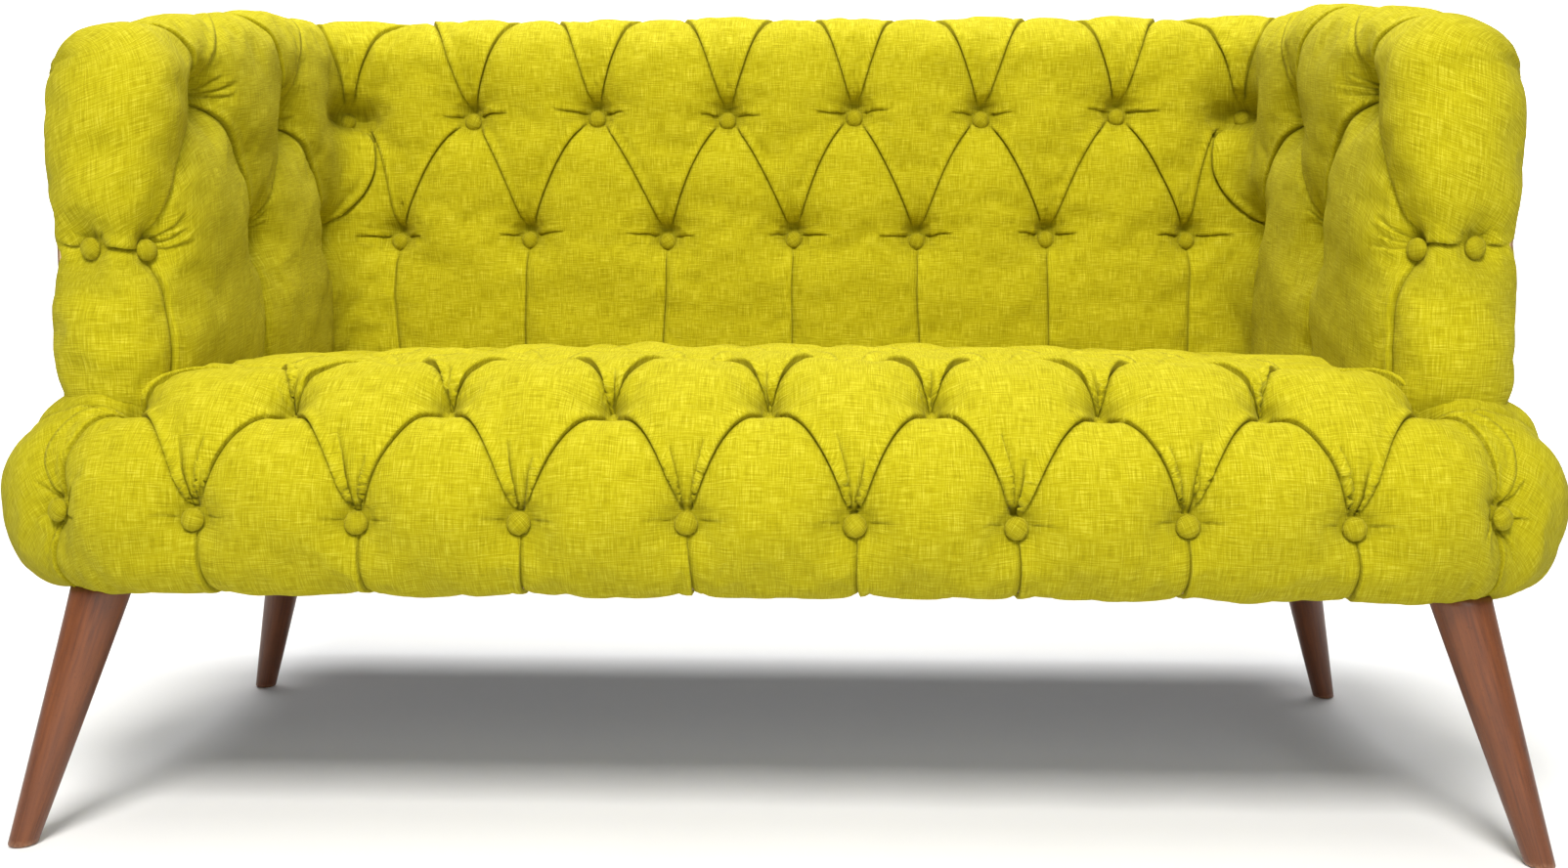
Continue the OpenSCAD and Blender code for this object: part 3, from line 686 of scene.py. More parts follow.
def linen(name, base=(0.435, 0.378, 0.0040), light=(0.60, 0.535, 0.030), dark=(0.300, 0.255, 0.0020), pitch=0.0011, contrast=1.0, uv="weave"):
    """Slub weave: thick and thin threads both ways, in metres of cloth."""
    m, nt, b = new_material(name)
    src = nt.nodes.new("ShaderNodeUVMap")
    src.uv_map = uv
    v = src.outputs["UV"]
    # wander of the threads
    wob = node(nt, "ShaderNodeTexNoise", Scale=55.0, Detail=2.0)
    nt.links.new(v, wob.inputs["Vector"])
    off = node(nt, "ShaderNodeVectorMath", operation="MULTIPLY_ADD")
    off.inputs[1].default_value = (0.0014, 0.0014, 0.0)
    nt.links.new(wob.outputs["Color"], off.inputs[0])
    nt.links.new(v, off.inputs[2])
    v2 = off.outputs[0]
    weft = noise(nt, stretched(nt, v2, (46, 1000, 1)), 1.0, 2.0, 0.62)        # long across u
    warp = noise(nt, stretched(nt, v2, (950, 44, 1)), 1.0, 2.0, 0.62)
    weft2 = noise(nt, stretched(nt, v2, (150, 420, 1)), 1.0, 1.0, 0.5)
    warp2 = noise(nt, stretched(nt, v2, (400, 130, 1)), 1.0, 1.0, 0.5)
    cloud = noise(nt, v2, 14.0, 3.0, 0.6)
    fine = noise(nt, v2, 1500.0, 1.0, 0.5)
    sx = node(nt, "ShaderNodeSeparateXYZ")
    nt.links.new(v2, sx.inputs[0])
    wave_u = math_node(nt, "SINE", math_node(nt, "MULTIPLY", sx.outputs[0], 6.2832 / pitch))
    wave_v = math_node(nt, "SINE", math_node(nt, "MULTIPLY", sx.outputs[1], 6.2832 / pitch))
    plain = math_node(nt, "MULTIPLY", wave_u, wave_v)
    a = spread(nt, weft, 0.26, 0.74)
    c = spread(nt, warp, 0.24, 0.76)
    streak = math_node(nt, "ADD", math_node(nt, "MULTIPLY", a, 0.5), math_node(nt, "MULTIPLY", c, 0.5))
    streak2 = math_node(nt, "ADD", math_node(nt, "MULTIPLY", spread(nt, weft2, 0.3, 0.7), 0.5), math_node(nt, "MULTIPLY", spread(nt, warp2, 0.3, 0.7), 0.5))
    tone = math_node(nt, "ADD", math_node(nt, "MULTIPLY", streak, 0.94), math_node(nt, "MULTIPLY", streak2, 0.06))
    tone = math_node(nt, "ADD", tone, math_node(nt, "MULTIPLY", plain, 0.035 * contrast))
    tone = math_node(nt, "ADD", tone, spread(nt, fine, 0.2, 0.8, -0.045, 0.045))
    tone = math_node(nt, "ADD", tone, spread(nt, cloud, 0.3, 0.7, -0.018, 0.018))
    mid = 0.5
    w = 0.27 / contrast
    col = mix(nt, spread(nt, tone, mid - w, mid, 0, 1), dark, base)
    col = mix(nt, spread(nt, tone, mid + 0.02, mid + w, 0, 1), col, light)
    slub = math_node(nt, "MAXIMUM", spread(nt, weft, 0.67, 0.80), spread(nt, warp, 0.68, 0.81))
    col = mix(nt, math_node(nt, "MULTIPLY", slub, 0.55), col, tuple(min(1.0, x * 1.08 + 0.03) for x in light))
    # painted shade: where the attribute is high the colour goes towards a fifth of the base, for shadow in creases,
    # round buttons and on shaded areas
    att = nt.nodes.new("ShaderNodeAttribute")
    att.attribute_name = "painted_shade"
    col = mix(nt, math_node(nt, "MULTIPLY", att.outputs["Fac"], 0.80), col, tuple(x * 0.22 for x in base))
    nt.links.new(col, b.inputs["Base Color"])
    rough = spread(nt, tone, 0.25, 0.75, 0.93, 0.80)
    nt.links.new(rough, b.inputs["Roughness"])
    b.inputs["IOR"].default_value = 1.45
    b.inputs["Specular IOR Level"].default_value = 0.14
    b.inputs["Sheen Weight"].default_value = 0.06
    b.inputs["Sheen Roughness"].default_value = 0.45
    b.inputs["Sheen Tint"].default_value = (0.93, 0.90, 0.35, 1.0)
    h = math_node(nt, "ADD", math_node(nt, "MULTIPLY", tone, 1.0), math_node(nt, "MULTIPLY", plain, 0.16))
    h = math_node(nt, "ADD", h, math_node(nt, "MULTIPLY", slub, 0.35))
    nt.links.new(bump(nt, h, 0.00085, 0.75), b.inputs["Normal"])
    return m


def walnut(name):
    """Stained beech: brown with short dark flecks and a fine grain along the leg."""
    m, nt, b = new_material(name)
    src = nt.nodes.new("ShaderNodeUVMap")
    src.uv_map = "weave"
    v = src.outputs["UV"]                       # u around the leg, v down it, both in metres
    grain = noise(nt, stretched(nt, v, (420, 16, 1)), 1.0, 4.0, 0.62, 0.35)
    fleck = noise(nt, stretched(nt, v, (1100, 210, 1)), 1.0, 2.0, 0.55)
    band = noise(nt, stretched(nt, v, (60, 7, 1)), 1.0, 3.0, 0.6, 0.6)
    pore = noise(nt, stretched(nt, v, (2600, 260, 1)), 1.0, 1.0, 0.5)
    col = mix(nt, spread(nt, grain, 0.28, 0.72), (0.064, 0.017, 0.005), (0.178, 0.050, 0.011))
    col = mix(nt, spread(nt, band, 0.35, 0.70, 0.0, 0.55), col, (0.23, 0.068, 0.017))
    col = mix(nt, spread(nt, fleck, 0.60, 0.74, 0.0, 0.70), col, (0.060, 0.018, 0.007))
    col = mix(nt, spread(nt, pore, 0.66, 0.80, 0.0, 0.45), col, (0.040, 0.012, 0.005))
    sep = node(nt, "ShaderNodeSeparateXYZ")
    nt.links.new(v, sep.inputs[0])
    wear = math_node(nt, "MULTIPLY", spread(nt, sep.outputs[1], 0.007, 0.0015), spread(nt, noise(nt, v, 240.0, 3.0), 0.38, 0.62))
    col = mix(nt, math_node(nt, "MULTIPLY", wear, 0.6, True), col, (0.42, 0.22, 0.105))
    nt.links.new(col, b.inputs["Base Color"])
    nt.links.new(spread(nt, grain, 0.2, 0.8, 0.36, 0.52), b.inputs["Roughness"])
    b.inputs["Coat Weight"].default_value = 0.12
    b.inputs["Coat Roughness"].default_value = 0.28
    b.inputs["IOR"].default_value = 1.5
    h = math_node(nt, "ADD", grain, math_node(nt, "MULTIPLY", spread(nt, pore, 0.6, 0.8), -0.7))
    nt.links.new(bump(nt, h, 0.00022, 0.6), b.inputs["Normal"])
    return m


def timber(name, pale, deep, scale=(9, 260, 260), gloss=0.6, ply=False, along="x"):
    m, nt, b = new_material(name)
    src = nt.nodes.new("ShaderNodeTexCoord")
    v = src.outputs["Object"]
    s = {"x": scale, "y": (scale[1], scale[0], scale[2]), "z": (scale[1], scale[2], scale[0])}[along]
    grain = noise(nt, stretched(nt, v, s), 1.0, 5.0, 0.6, 0.5)
    ring = noise(nt, stretched(nt, v, tuple(k * 0.16 for k in s)), 1.0, 3.0, 0.55, 1.2)
    col = mix(nt, spread(nt, grain, 0.3, 0.7), deep, pale)
    col = mix(nt, spread(nt, ring, 0.42, 0.62, 0.0, 0.5), col, tuple(k * 0.72 for k in pale))
    if ply:
        sep = node(nt, "ShaderNodeSeparateXYZ")
        nt.links.new(v, sep.inputs[0])
        lay = math_node(nt, "SINE", math_node(nt, "MULTIPLY", sep.outputs[1], 2094.0))
        col = mix(nt, spread(nt, lay, -0.2, 0.2, 0.0, 0.12), col, deep)
    knot = noise(nt, v, 21.0, 1.0)
    col = mix(nt, spread(nt, knot, 0.72, 0.80, 0.0, 0.8), col, tuple(k * 0.35 for k in deep))
    nt.links.new(col, b.inputs["Base Color"])
    nt.links.new(spread(nt, grain, 0.2, 0.8, gloss, gloss + 0.2), b.inputs["Roughness"])
    nt.links.new(bump(nt, grain, 0.0004, 0.5), b.inputs["Normal"])
    return m


def plain_cloth(name, a, c, pitch, depth, rough=0.9, sheen=0.1, diagonal=False):
    """A coarse regular weave or felt in object space: webbing, hessian, non-woven, twine."""
    m, nt, b = new_material(name)
    src = nt.nodes.new("ShaderNodeTexCoord")
    v = src.outputs["Object"]
    if diagonal:
        v = stretched(nt, v, (1, 1, 1), (0, 0, 0.785))
    sep = node(nt, "ShaderNodeSeparateXYZ")
    nt.links.new(v, sep.inputs[0])
    w = [math_node(nt, "SINE", math_node(nt, "MULTIPLY", sep.outputs[k], 6.2832 / pitch)) for k in range(3)]
    grid = math_node(nt, "ADD", math_node(nt, "MULTIPLY", w[0], w[1]), w[2])
    hair = noise(nt, v, 900.0, 3.0, 0.6)
    blot = noise(nt, v, 40.0, 3.0, 0.6)
    t = math_node(nt, "ADD", spread(nt, grid, -1.4, 1.4, 0, 0.6), spread(nt, hair, 0.2, 0.8, 0.0, 0.4))
    col = mix(nt, t, a, c)
    col = mix(nt, spread(nt, blot, 0.35, 0.7, 0.0, 0.25), col, tuple(k * 0.6 for k in a))
    nt.links.new(col, b.inputs["Base Color"])
    nt.links.new(spread(nt, hair, 0.2, 0.8, rough - 0.1, rough), b.inputs["Roughness"])
    b.inputs["Sheen Weight"].default_value = sheen
    nt.links.new(bump(nt, t, depth, 0.8), b.inputs["Normal"])
    return m


def foam_material(name):
    m, nt, b = new_material(name)
    src = nt.nodes.new("ShaderNodeTexCoord")
    cells = node(nt, "ShaderNodeTexVoronoi", Scale=700.0)
    nt.links.new(src.outputs["Object"], cells.inputs["Vector"])
    blot = noise(nt, src.outputs["Object"], 12.0, 3.0)
    col = mix(nt, spread(nt, cells.outputs["Distance"], 0.0, 0.7), (0.60, 0.52, 0.33), (0.86, 0.80, 0.62))
    col = mix(nt, spread(nt, blot, 0.4, 0.7, 0.0, 0.3), col, (0.80, 0.68, 0.40))
    nt.links.new(col, b.inputs["Base Color"])
    nt.links.new(spread(nt, cells.outputs["Distance"], 0.0, 0.7, 0.95, 0.8), b.inputs["Roughness"])
    nt.links.new(bump(nt, cells.outputs["Distance"], 0.0008, 0.8), b.inputs["Normal"])
    return m


def steel_material(name):
    m, nt, b = new_material(name)
    src = nt.nodes.new("ShaderNodeTexCoord")
    v = src.outputs["Object"]
    brushed = noise(nt, stretched(nt, v, (60, 2400, 900)), 1.0, 2.0)
    spot = noise(nt, v, 90.0, 4.0, 0.65)
    col = mix(nt, spread(nt, spot, 0.35, 0.68), (0.62, 0.63, 0.66), (0.44, 0.44, 0.45))
    nt.links.new(col, b.inputs["Base Color"])
    b.inputs["Metallic"].default_value = 1.0
    nt.links.new(spread(nt, brushed, 0.2, 0.8, 0.24, 0.42), b.inputs["Roughness"])
    nt.links.new(bump(nt, brushed, 0.00008, 0.5), b.inputs["Normal"])
    return m


LINEN = linen("linen slub")
# the buttons' cloth is the cover's linen made darker: painted shade for buttons sunk in their hollows
SHADED_BUTTON_LINEN = linen("button linen with painted shade", base=(0.370, 0.318, 0.0035), light=(0.50, 0.44, 0.024), dark=(0.255, 0.215, 0.0018), pitch=0.0009)
WALNUT = walnut("walnut stain")
PINE = timber("frame pine", (0.72, 0.53, 0.31), (0.50, 0.31, 0.14))
PLY = timber("plywood", (0.70, 0.52, 0.31), (0.46, 0.29, 0.13), ply=True, along="z")
HARDBOARD = plain_cloth("hardboard", (0.16, 0.085, 0.04), (0.25, 0.15, 0.08), 0.0021, 0.0002, 0.75, 0.0)
WEBBING = plain_cloth("webbing", (0.36, 0.24, 0.12), (0.60, 0.47, 0.29), 0.0032, 0.0007)
HESSIAN = plain_cloth("hessian", (0.30, 0.20, 0.10), (0.62, 0.48, 0.28), 0.0026, 0.0008)
DUST = plain_cloth("black non-woven", (0.010, 0.010, 0.011), (0.035, 0.035, 0.038), 0.0022, 0.0004, 0.95, 0.15, True)
TWINE = plain_cloth("waxed twine", (0.55, 0.48, 0.35), (0.78, 0.72, 0.58), 0.0012, 0.0004)
FOAM = foam_material("foam")
STEEL = steel_material("zinc steel")
BY_SLOT = {
    "linen_fabric": LINEN, "button_fabric": SHADED_BUTTON_LINEN, "leg_walnut": WALNUT, "frame_timber": PINE, "plywood": PLY, "hardboard": HARDBOARD,
    "foam": FOAM, "webbing": WEBBING, "hessian": HESSIAN, "dust_cloth": DUST, "twine": TWINE, "zinc_steel": STEEL,
}
SUBPART_SLOT = {s["node"]: s.get("material") or s.get("slot") for s in frame["record"]["subparts"]} if isinstance(frame["record"].get("subparts"), list) else {}
for name, ob in frame["nodes"].items():
    mat = BY_SLOT.get(SUBPART_SLOT.get(name) or "", None)
    if mat is None:
        if "leg" in name and name.endswith("leg"):
            mat = WALNUT
        elif "board" in name:
            mat = PLY
        elif "panel" in name:
            mat = HARDBOARD
        elif "foam" in name:
            mat = FOAM
        elif "webbing" in name:
            mat = WEBBING
        elif "hessian" in name:
            mat = HESSIAN
        elif "ties" in name:
            mat = TWINE
        elif any(k in name for k in ("bolt", "insert", "plate", "screw")):
            mat = STEEL
        elif "dust" in name:
            mat = DUST
        elif "cover" in name:
            mat = LINEN
        elif "button" in name:
            mat = SHADED_BUTTON_LINEN
        else:
            mat = PINE
    ob.data.materials.clear()
    ob.data.materials.append(mat)


# ------------------------------------------------------------------ the shape of the padding without its buttons
CORE_X = HX - 0.127                 # the seat's flat middle reaches this far to each side
CORE_Y = Y0 + 0.135                 # and this far to the front
_, SEAT_FRONT = spline([(0, .440), (.02, .4388), (.045, .4315), (.07, .415), (.095, .389), (.115, .358), (.128, .328), (.1345, .300), (.1335, .278), (.128, .256), (.1175, .2395), (.104, .2305), (.085, .2275), (.06, .227), (.03, .227)], 600)
SF_S = np.concatenate([[0], np.cumsum(np.linalg.norm(np.diff(SEAT_FRONT, axis=0), axis=1))])
_, SEAT_SIDE = spline([(0, .432), (.03, .4265), (.065, .416), (.09, .404), (.111, .388), (.1235, .369), (.131, .348), (.1362, .325), (.1385, .302), (.1395, .284), (.1375, .264), (.1290, .2445), (.112, .2325), (.088, .228), (.05, .227), (.03, .227)], 600)
SS_S = np.concatenate([[0], np.cumsum(np.linalg.norm(np.diff(SEAT_SIDE, axis=0), axis=1))])
SEAT_L = min(SF_S[-1], SS_S[-1]) - 0.002


def seat_at(z, front=True):
    """Distance along the profile at which it comes down to height z."""
    prof, s = (SEAT_FRONT, SF_S) if front else (SEAT_SIDE, SS_S)
    i = int(np.argmin(np.abs(prof[:, 1] - z) + (prof[:, 0] < 0.05) * 1.0))
    return float(s[i])


def seat_base(uv):
    a, b = uv[:, 0], uv[:, 1]
    na, nb = np.clip(a, -CORE_X, CORE_X), np.maximum(b, CORE_Y)
    dx, dy = a - na, b - nb
    d = np.hypot(dx, dy)
    nx, ny = dx / (d + 1e-12), dy / (d + 1e-12)
    k = nx**2
    o = np.interp(d, SF_S, SEAT_FRONT[:, 0]) * (1 - k) + np.interp(d, SS_S, SEAT_SIDE[:, 0]) * k
    z = np.interp(d, SF_S, SEAT_FRONT[:, 1]) * (1 - k) + np.interp(d, SS_S, SEAT_SIDE[:, 1]) * k
    start = 0.440 * (1 - k) + 0.432 * k
    crown = 0.440 - 0.012 * np.abs(na / CORE_X) ** 3 - 0.010 * smooth((nb - 0.05) / 0.2)
    z = z + (crown - start) * (1 - smooth(d / 0.16))
    return np.stack([na + nx * o, nb + ny * o, z], 1)


TOP_R_ARM, TOP_R_BACK = 0.050, 0.060
BEND = 0.035                                        # radius of the inside corner between back and arm
S1 = ARM_X0 - BEND                                  # end of the straight back
S2 = S1 + BEND * math.pi / 2                        # start of the straight arm
ARM_FY = ARM_Y0 + TOP_R_ARM                         # where the arm's rounded front begins
SF = S2 + (BACK_Y0 - BEND) - ARM_FY                 # end of the straight arm
BASE_Z = 0.350


def arm_s(y):
    """Chart distance of a point on the inside of an arm."""
    return S2 + (BACK_Y0 - BEND) - y


def wall_path(s):
    """Inside and outside lines in plan, arm or back radius, and the height of the top."""
    s = np.asarray(s, float)
    t = np.clip((s - S1) / BEND, 0, math.pi / 2)
    px = np.where(s < S1, s, S1 + BEND * np.sin(t))
    py = np.where(s < S1, BACK_Y0, BACK_Y0 - BEND * (1 - np.cos(t)))
    py = np.where(s > S2, BACK_Y0 - BEND - (s - S2), py)
    # outside: along the back, round a small corner, along the arm
    ox, oy, rc = ARM_X1, Y1, 0.014
    f = np.clip((s - (S1 - 0.030)) / (S2 - S1 + 0.060), 0, 1)
    turn = np.clip((f - 0.44) / 0.12, 0, 1) * math.pi / 2
    qx = np.where(f < 0.44, (S1 - 0.030) + (ox - rc - S1 + 0.030) * f / 0.44, ox - rc + rc * np.sin(turn))
    qy = np.where(f > 0.56, (oy - rc) + ((BACK_Y0 - BEND - 0.030) - (oy - rc)) * (f - 0.56) / 0.44, oy - rc + rc * np.cos(turn))
    qx = np.where(s < S1 - 0.030, s, qx)
    qy = np.where(s > S2 + 0.030, py, qy)
    blend = smooth((s - S1 + 0.03) / (S2 - S1 + 0.06))
    r = TOP_R_BACK * (1 - blend) + TOP_R_ARM * blend
    y = np.minimum(py, 0.31)
    k = (y - ARM_FY) / 0.55
    arm_top = 0.747 + 0.095 * k + 0.017 * 4 * k * (1 - k)
    top = (TOP_Z - 0.002) * (1 - blend) + arm_top * blend
    return px, py, qx, qy, r, top


def wall_length(s):
    px, py, qx, qy, r, top = wall_path(np.abs(s))
    t = np.hypot(qx - px, qy - py)
    soft = smooth((np.abs(s) - S1) / 0.05)
    r1, r2 = r - 0.006 * soft, r + (t - 2 * r) * 1.35 * soft
    return math.pi / 2 * r + (t - r1 - r2) + math.pi / 2 * (r + r2) / 2


def wall_base(uv):
    s, q = np.abs(uv[:, 0]), uv[:, 1]
    sign = np.where(uv[:, 0] < 0, -1.0, 1.0)
    sc = np.minimum(s, SF)
    ds, qp = s - sc, np.maximum(q, 0)
    d = np.hypot(ds, qp)
    ns, nq = ds / (d + 1e-12), qp / (d + 1e-12)
    px, py, qx, qy, r, top = wall_path(sc)
    t = np.hypot(qx - px, qy - py)
    soft = smooth((sc - S1) / 0.05)
    r1 = r - 0.006 * soft                                          # the inside of an arm's roll is tighter
    r2 = r + (t - 2 * r) * 1.35 * soft                             # and its outside falls away more gently
    flat = t - r1 - r2
    a = d / r
    quarter = math.pi / 2 * r
    a2 = np.clip((d - quarter - flat) / ((r + r2) / 2), 0, math.pi / 2)
    along = np.where(d < quarter, r1 * (1 - np.cos(a)), np.where(d < quarter + flat, r1 + d - quarter, t - r2 + r2 * np.sin(a2)))
    out = np.where(d < quarter, r * np.sin(a), np.where(d < quarter + flat, r, r * np.cos(a2)))
    past = np.maximum(d - quarter - flat - (r + r2) / 2 * math.pi / 2, 0)
    out = np.where(past > 0, -past, out)
    x = px + (qx - px) / t * along
    y = py + (qy - py) / t * along - ns * out
    z = (top - r) + np.minimum(q, 0) + nq * out
    return np.stack([sign * x, y, z], 1)


def wall_q(s, z):
    """Chart height of a point at height z on the upright part."""
    px, py, qx, qy, r, top = wall_path(np.array([min(abs(s), SF)]))
    return float(z - (top[0] - r[0]))


def arch(low, high, b1=0.05, b2=0.11, notch=0.0):
    """Control points of a pleat from a low tuft up to a high one. It leaves the low tuft steeply and comes into the high one from the side."""
    p, q = np.array(low, float), np.array(high, float)
    d = q - p
    n = np.array([-d[1], d[0]])
    if n[0] * (p[0] - q[0]) < 0:
        n = -n
    c1, c2 = p + d / 3 + n * b1, p + d * 0.70 + n * b2
    t = np.linspace(0, 1, 60)[:, None]
    cur = (1 - t) ** 3 * p + 3 * (1 - t) ** 2 * t * c1 + 3 * (1 - t) * t**2 * c2 + t**3 * q
    side = 1 if np.dot(n, [-d[1], d[0]]) > 0 else -1
    return cur, side


def add_arch(panel, low, high, b1=0.05, b2=0.11, mid=0.009, fold=1.0, turn=1):
    cur, side = arch(panel.tufts[low][:2], panel.tufts[high][:2], b1, b2)
    step = max(6, int(np.linalg.norm(cur[-1] - cur[0]) / 0.014))
    idx = np.linspace(0, len(cur) - 1, step).round().astype(int)[1:-1]
    panel.pleat(low, high, via=[tuple(cur[i]) for i in idx], lip=side * turn, mid=mid, fold=fold)


BUTTONS = {"seat_buttons": [], "back_buttons": [], "left_arm_buttons": [], "right_arm_buttons": []}


def button_at(group, panel, k, lift=0.0015, slip=(0.0, 0.0)):
    u, v, depth = panel.tufts[k]
    p, n = panel.frame_at(np.array([[u + slip[0], v + slip[1]]]))
    BUTTONS[group].append((p[0] - n[0] * (depth - lift), n[0]))


# ------------------------------------------------------------------ the seat
seat = Panel("seat_tufted_cover", [(0, 0)], seat_base, seed=3, grid=0.0066)
D1F, D2F = seat_at(0.3005), 0.084
LS = SEAT_L
border = [(0.587, 0.246), (0.587, -0.205)]
border += [(CORE_X + LS, -0.205)]
for k in range(0, 19):
    t = k / 18 * math.pi / 2
    border.append((CORE_X + LS * math.cos(t), CORE_Y - LS * math.sin(t)))
border = border + [(-x, y) for x, y in border[::-1]]
seat.border = np.array(border)
ROW1 = [(-.509, .002), (-.363, -.001), (-.2185, 0), (-.071, .001), (.0765, -.001), (.2165, -.003), (.364, .001), (.506, -.001)]
row1 = []
c40 = (math.sin(math.radians(28)), math.cos(math.radians(28)))
dc = seat_at(0.312, False)
row1.append(seat.tuft(-(CORE_X + dc * c40[0]), CORE_Y - dc * c40[1], 0.014, 0.012, 0.034))
for x, dy in ROW1:
    row1.append(seat.tuft(x, CORE_Y - D1F + dy, 0.022, 0.011, 0.031))
row1.append(seat.tuft(CORE_X + dc * c40[0], CORE_Y - dc * c40[1], 0.014, 0.012, 0.034))
ROW2 = [-.586, -.440, -.294, -.144, -.001, .146, .297, .443, .586]
row2 = [seat.tuft(x, CORE_Y - D2F + (0.002 if i % 3 else -0.002) + (0.010 if i in (0, 8) else 0), 0.033, 0.003, 0.020) for i, x in enumerate(ROW2)]
row3 = [seat.tuft(x, y, 0.031, 0.005, 0.024) for x, y in ((-.494, -.208), (-.362, -.205), (-.219, -.204), (-.075, -.206), (.073, -.204), (.217, -.207), (.362, -.204), (.495, -.206))]
row4 = [seat.tuft(x, y, 0.031, 0.005, 0.024) for x, y in ((-.440, -.084), (-.292, -.087), (-.146, -.084), (.001, -.086), (.148, -.085), (.295, -.083), (.442, -.086))]
row5 = [seat.tuft(x, y, 0.031, 0.005, 0.024) for x, y in ((-.502, .040), (-.359, .041), (-.216, .039), (-.071, .041), (.072, .040), (.217, .038), (.361, .041), (.503, .040))]
row6 = [seat.tuft(x, y, 0.031, 0.005, 0.024) for x, y in ((-.441, .163), (-.294, .165), (-.147, .164), (.001, .165), (.146, .164), (.295, .165), (.441, .164))]
rng = np.random.default_rng(11)
for i in range(9):
    add_arch(seat, row1[i], row2[i], 0.035 + 0.02 * rng.random(), 0.11 + 0.03 * rng.random(), 0.0042, 0.9)
    add_arch(seat, row1[i + 1], row2[i], 0.035 + 0.02 * rng.random(), 0.11 + 0.03 * rng.random(), 0.0042, 0.9)
for i in range(8):
    add_arch(seat, row2[i], row3[i], 0.11, 0.17 + 0.05 * rng.random(), 0.0045, 1.7)
    add_arch(seat, row2[i + 1], row3[i], 0.11, 0.17 + 0.05 * rng.random(), 0.0045, 1.7)
for i in range(7):
    add_arch(seat, row3[i], row4[i], 0.07, 0.13, 0.0045, 1.7, -1)
    add_arch(seat, row3[i + 1], row4[i], 0.07, 0.13, 0.0045, 1.7, -1)
    add_arch(seat, row5[i], row6[i], 0.05, 0.10, 0.0050, 1.1, -1)
    add_arch(seat, row5[i + 1], row6[i], 0.05, 0.10, 0.0050, 1.1, -1)
for i in range(7):
    add_arch(seat, row4[i], row5[i], 0.06, 0.11, 0.0050, 1.5, -1)
    add_arch(seat, row4[i], row5[i + 1], 0.06, 0.11, 0.0050, 1.5, -1)
for i, k in enumerate(row6):
    x = seat.tufts[k][0]
    seat.pleat(k, (x, 0.246), lip=1 if i % 2 else -1, mid=0.009, end_depth=0.03)
for s, k3, k5, k4 in ((-1, row3[0], row5[0], row4[0]), (1, row3[-1], row5[-1], row4[-1])):
    seat.pleat(k3, (s * 0.587, -0.150), lip=-s, bow=0.05 * s, mid=0.006, end_depth=0.008)
    seat.pleat(k5, (s * 0.587, 0.062), lip=-s, mid=0.006, end_depth=0.014)
# below the front row
for i, k in enumerate(row1):
    u, v, _ = seat.tufts[k]
    if 0 < i < 9:
        drift = (0.012, 0.004, -0.002, 0.002, 0.001, 0.0, -0.003, 0.004)[i - 1]
        end = (u + drift, CORE_Y - LS + 0.0005)
        seat.pleat(k, end, lip=(-1 if i < 5 else 1), mid=0.0035, bow=0.02, end_depth=0.001, fold=0.8)
    else:
        s = -1 if i == 0 else 1
        t = math.radians(33 if s < 0 else 30)
        end = (s * (CORE_X + (LS - 0.0005) * math.sin(t)), CORE_Y - (LS - 0.0005) * math.cos(t))
        seat.pleat(k, end, lip=s, mid=0.0035, bow=-0.05 * s, end_depth=0.001, fold=0.8)
# the pleats that wrap round each end of the nose from the last tuft of the second row
for s, k1, k2 in ((-1, row1[0], row2[0]), (1, row1[-1], row2[-1])):
    a, b = seat.tufts[k1][:2], seat.tufts[k2][:2]
    cu, cv = CORE_X, CORE_Y
    seat.pleat(k2, k1, via=[(s * 0.614, -.314), (s * 0.641, -.322), (s * 0.662, -.338), (s * 0.674, -.360), (s * 0.677, -.385)], lip=-s, mid=0.0045, fold=1.0)
    seat.pleat(k2, (s * (CORE_X + 0.175), -.262), via=[(s * 0.622, -.312), (s * 0.660, -.303), (s * 0.700, -.288)], lip=-s, mid=0.0045, end_depth=0.002, fold=1.0)
    for ang, ln in ((0.35, .036), (1.15, .044), (2.1, .046), (-0.7, .040), (-2.5, .040), (3.05, .034)):
        seat.pucker(k1, ang if s > 0 else math.pi - ang, ln * 1.15, 0.08, 0.75, 1)
for i, k in enumerate(row1[1:-1]):
    u, v, _ = seat.tufts[k]
    seat.pucker(k, math.pi / 2 + 0.12 + 0.04 * math.sin(i * 2.3), .082 + .010 * math.sin(i * 1.7), 0.05, 1.35, 1)
    seat.pucker(k, math.pi / 2 - 0.11 + 0.05 * math.cos(i * 1.3), .068 + .010 * math.cos(i * 2.1), -0.04, 1.25, -1)
    if i % 3 != 1:
        seat.pucker(k, math.pi / 2 + 0.26 * (1 if i % 2 else -1), .048, 0.05, 0.70, 1)
    seat.pucker(k, 0.10, .034, -0.10, 0.30, 1)
    seat.pucker(k, math.pi - 0.12, .032, 0.10, 0.30, -1)
for i, k in enumerate(row2):
    u, v, _ = seat.tufts[k]
    seat.pucker(k, math.pi / 2 + 0.07 * math.cos(i * 3.1), .052 + .006 * math.sin(i), 0.05, 0.95, 1 if i % 2 else -1)
    seat.pucker(k, math.pi / 2 + 0.5 * (1 if i % 2 else -1), .030, 0.0, 0.35, 1)
for k in row3 + row4 + row5:
    u, v, _ = seat.tufts[k]
    for ang in (0.0, math.pi):
        seat.wrinkles.append((u, v, ang, .036, 0.0030, 0.0036))


def seat_border(uv):
    h = np.full(len(uv), np.nan)
    h[uv[:, 1] > 0.24] = -0.034
    side = (np.abs(uv[:, 0]) > 0.58) & (np.abs(uv[:, 0]) < 0.592) & (uv[:, 1] > -0.2)
    h[side] = -0.002 - 0.016 * smooth((uv[side, 1] + 0.16) / 0.2)
    wing = (np.abs(uv[:, 0]) > 0.592) & (uv[:, 1] > -0.21)
    h[wing] = -0.010 * smooth((CORE_X + LS - np.abs(uv[wing, 0])) / 0.03) * smooth((np.abs(uv[wing, 0]) - 0.62) / 0.05)
    h[(uv[:, 1] < -0.21)] = 0.0
    return h


seat.border_height = seat_border


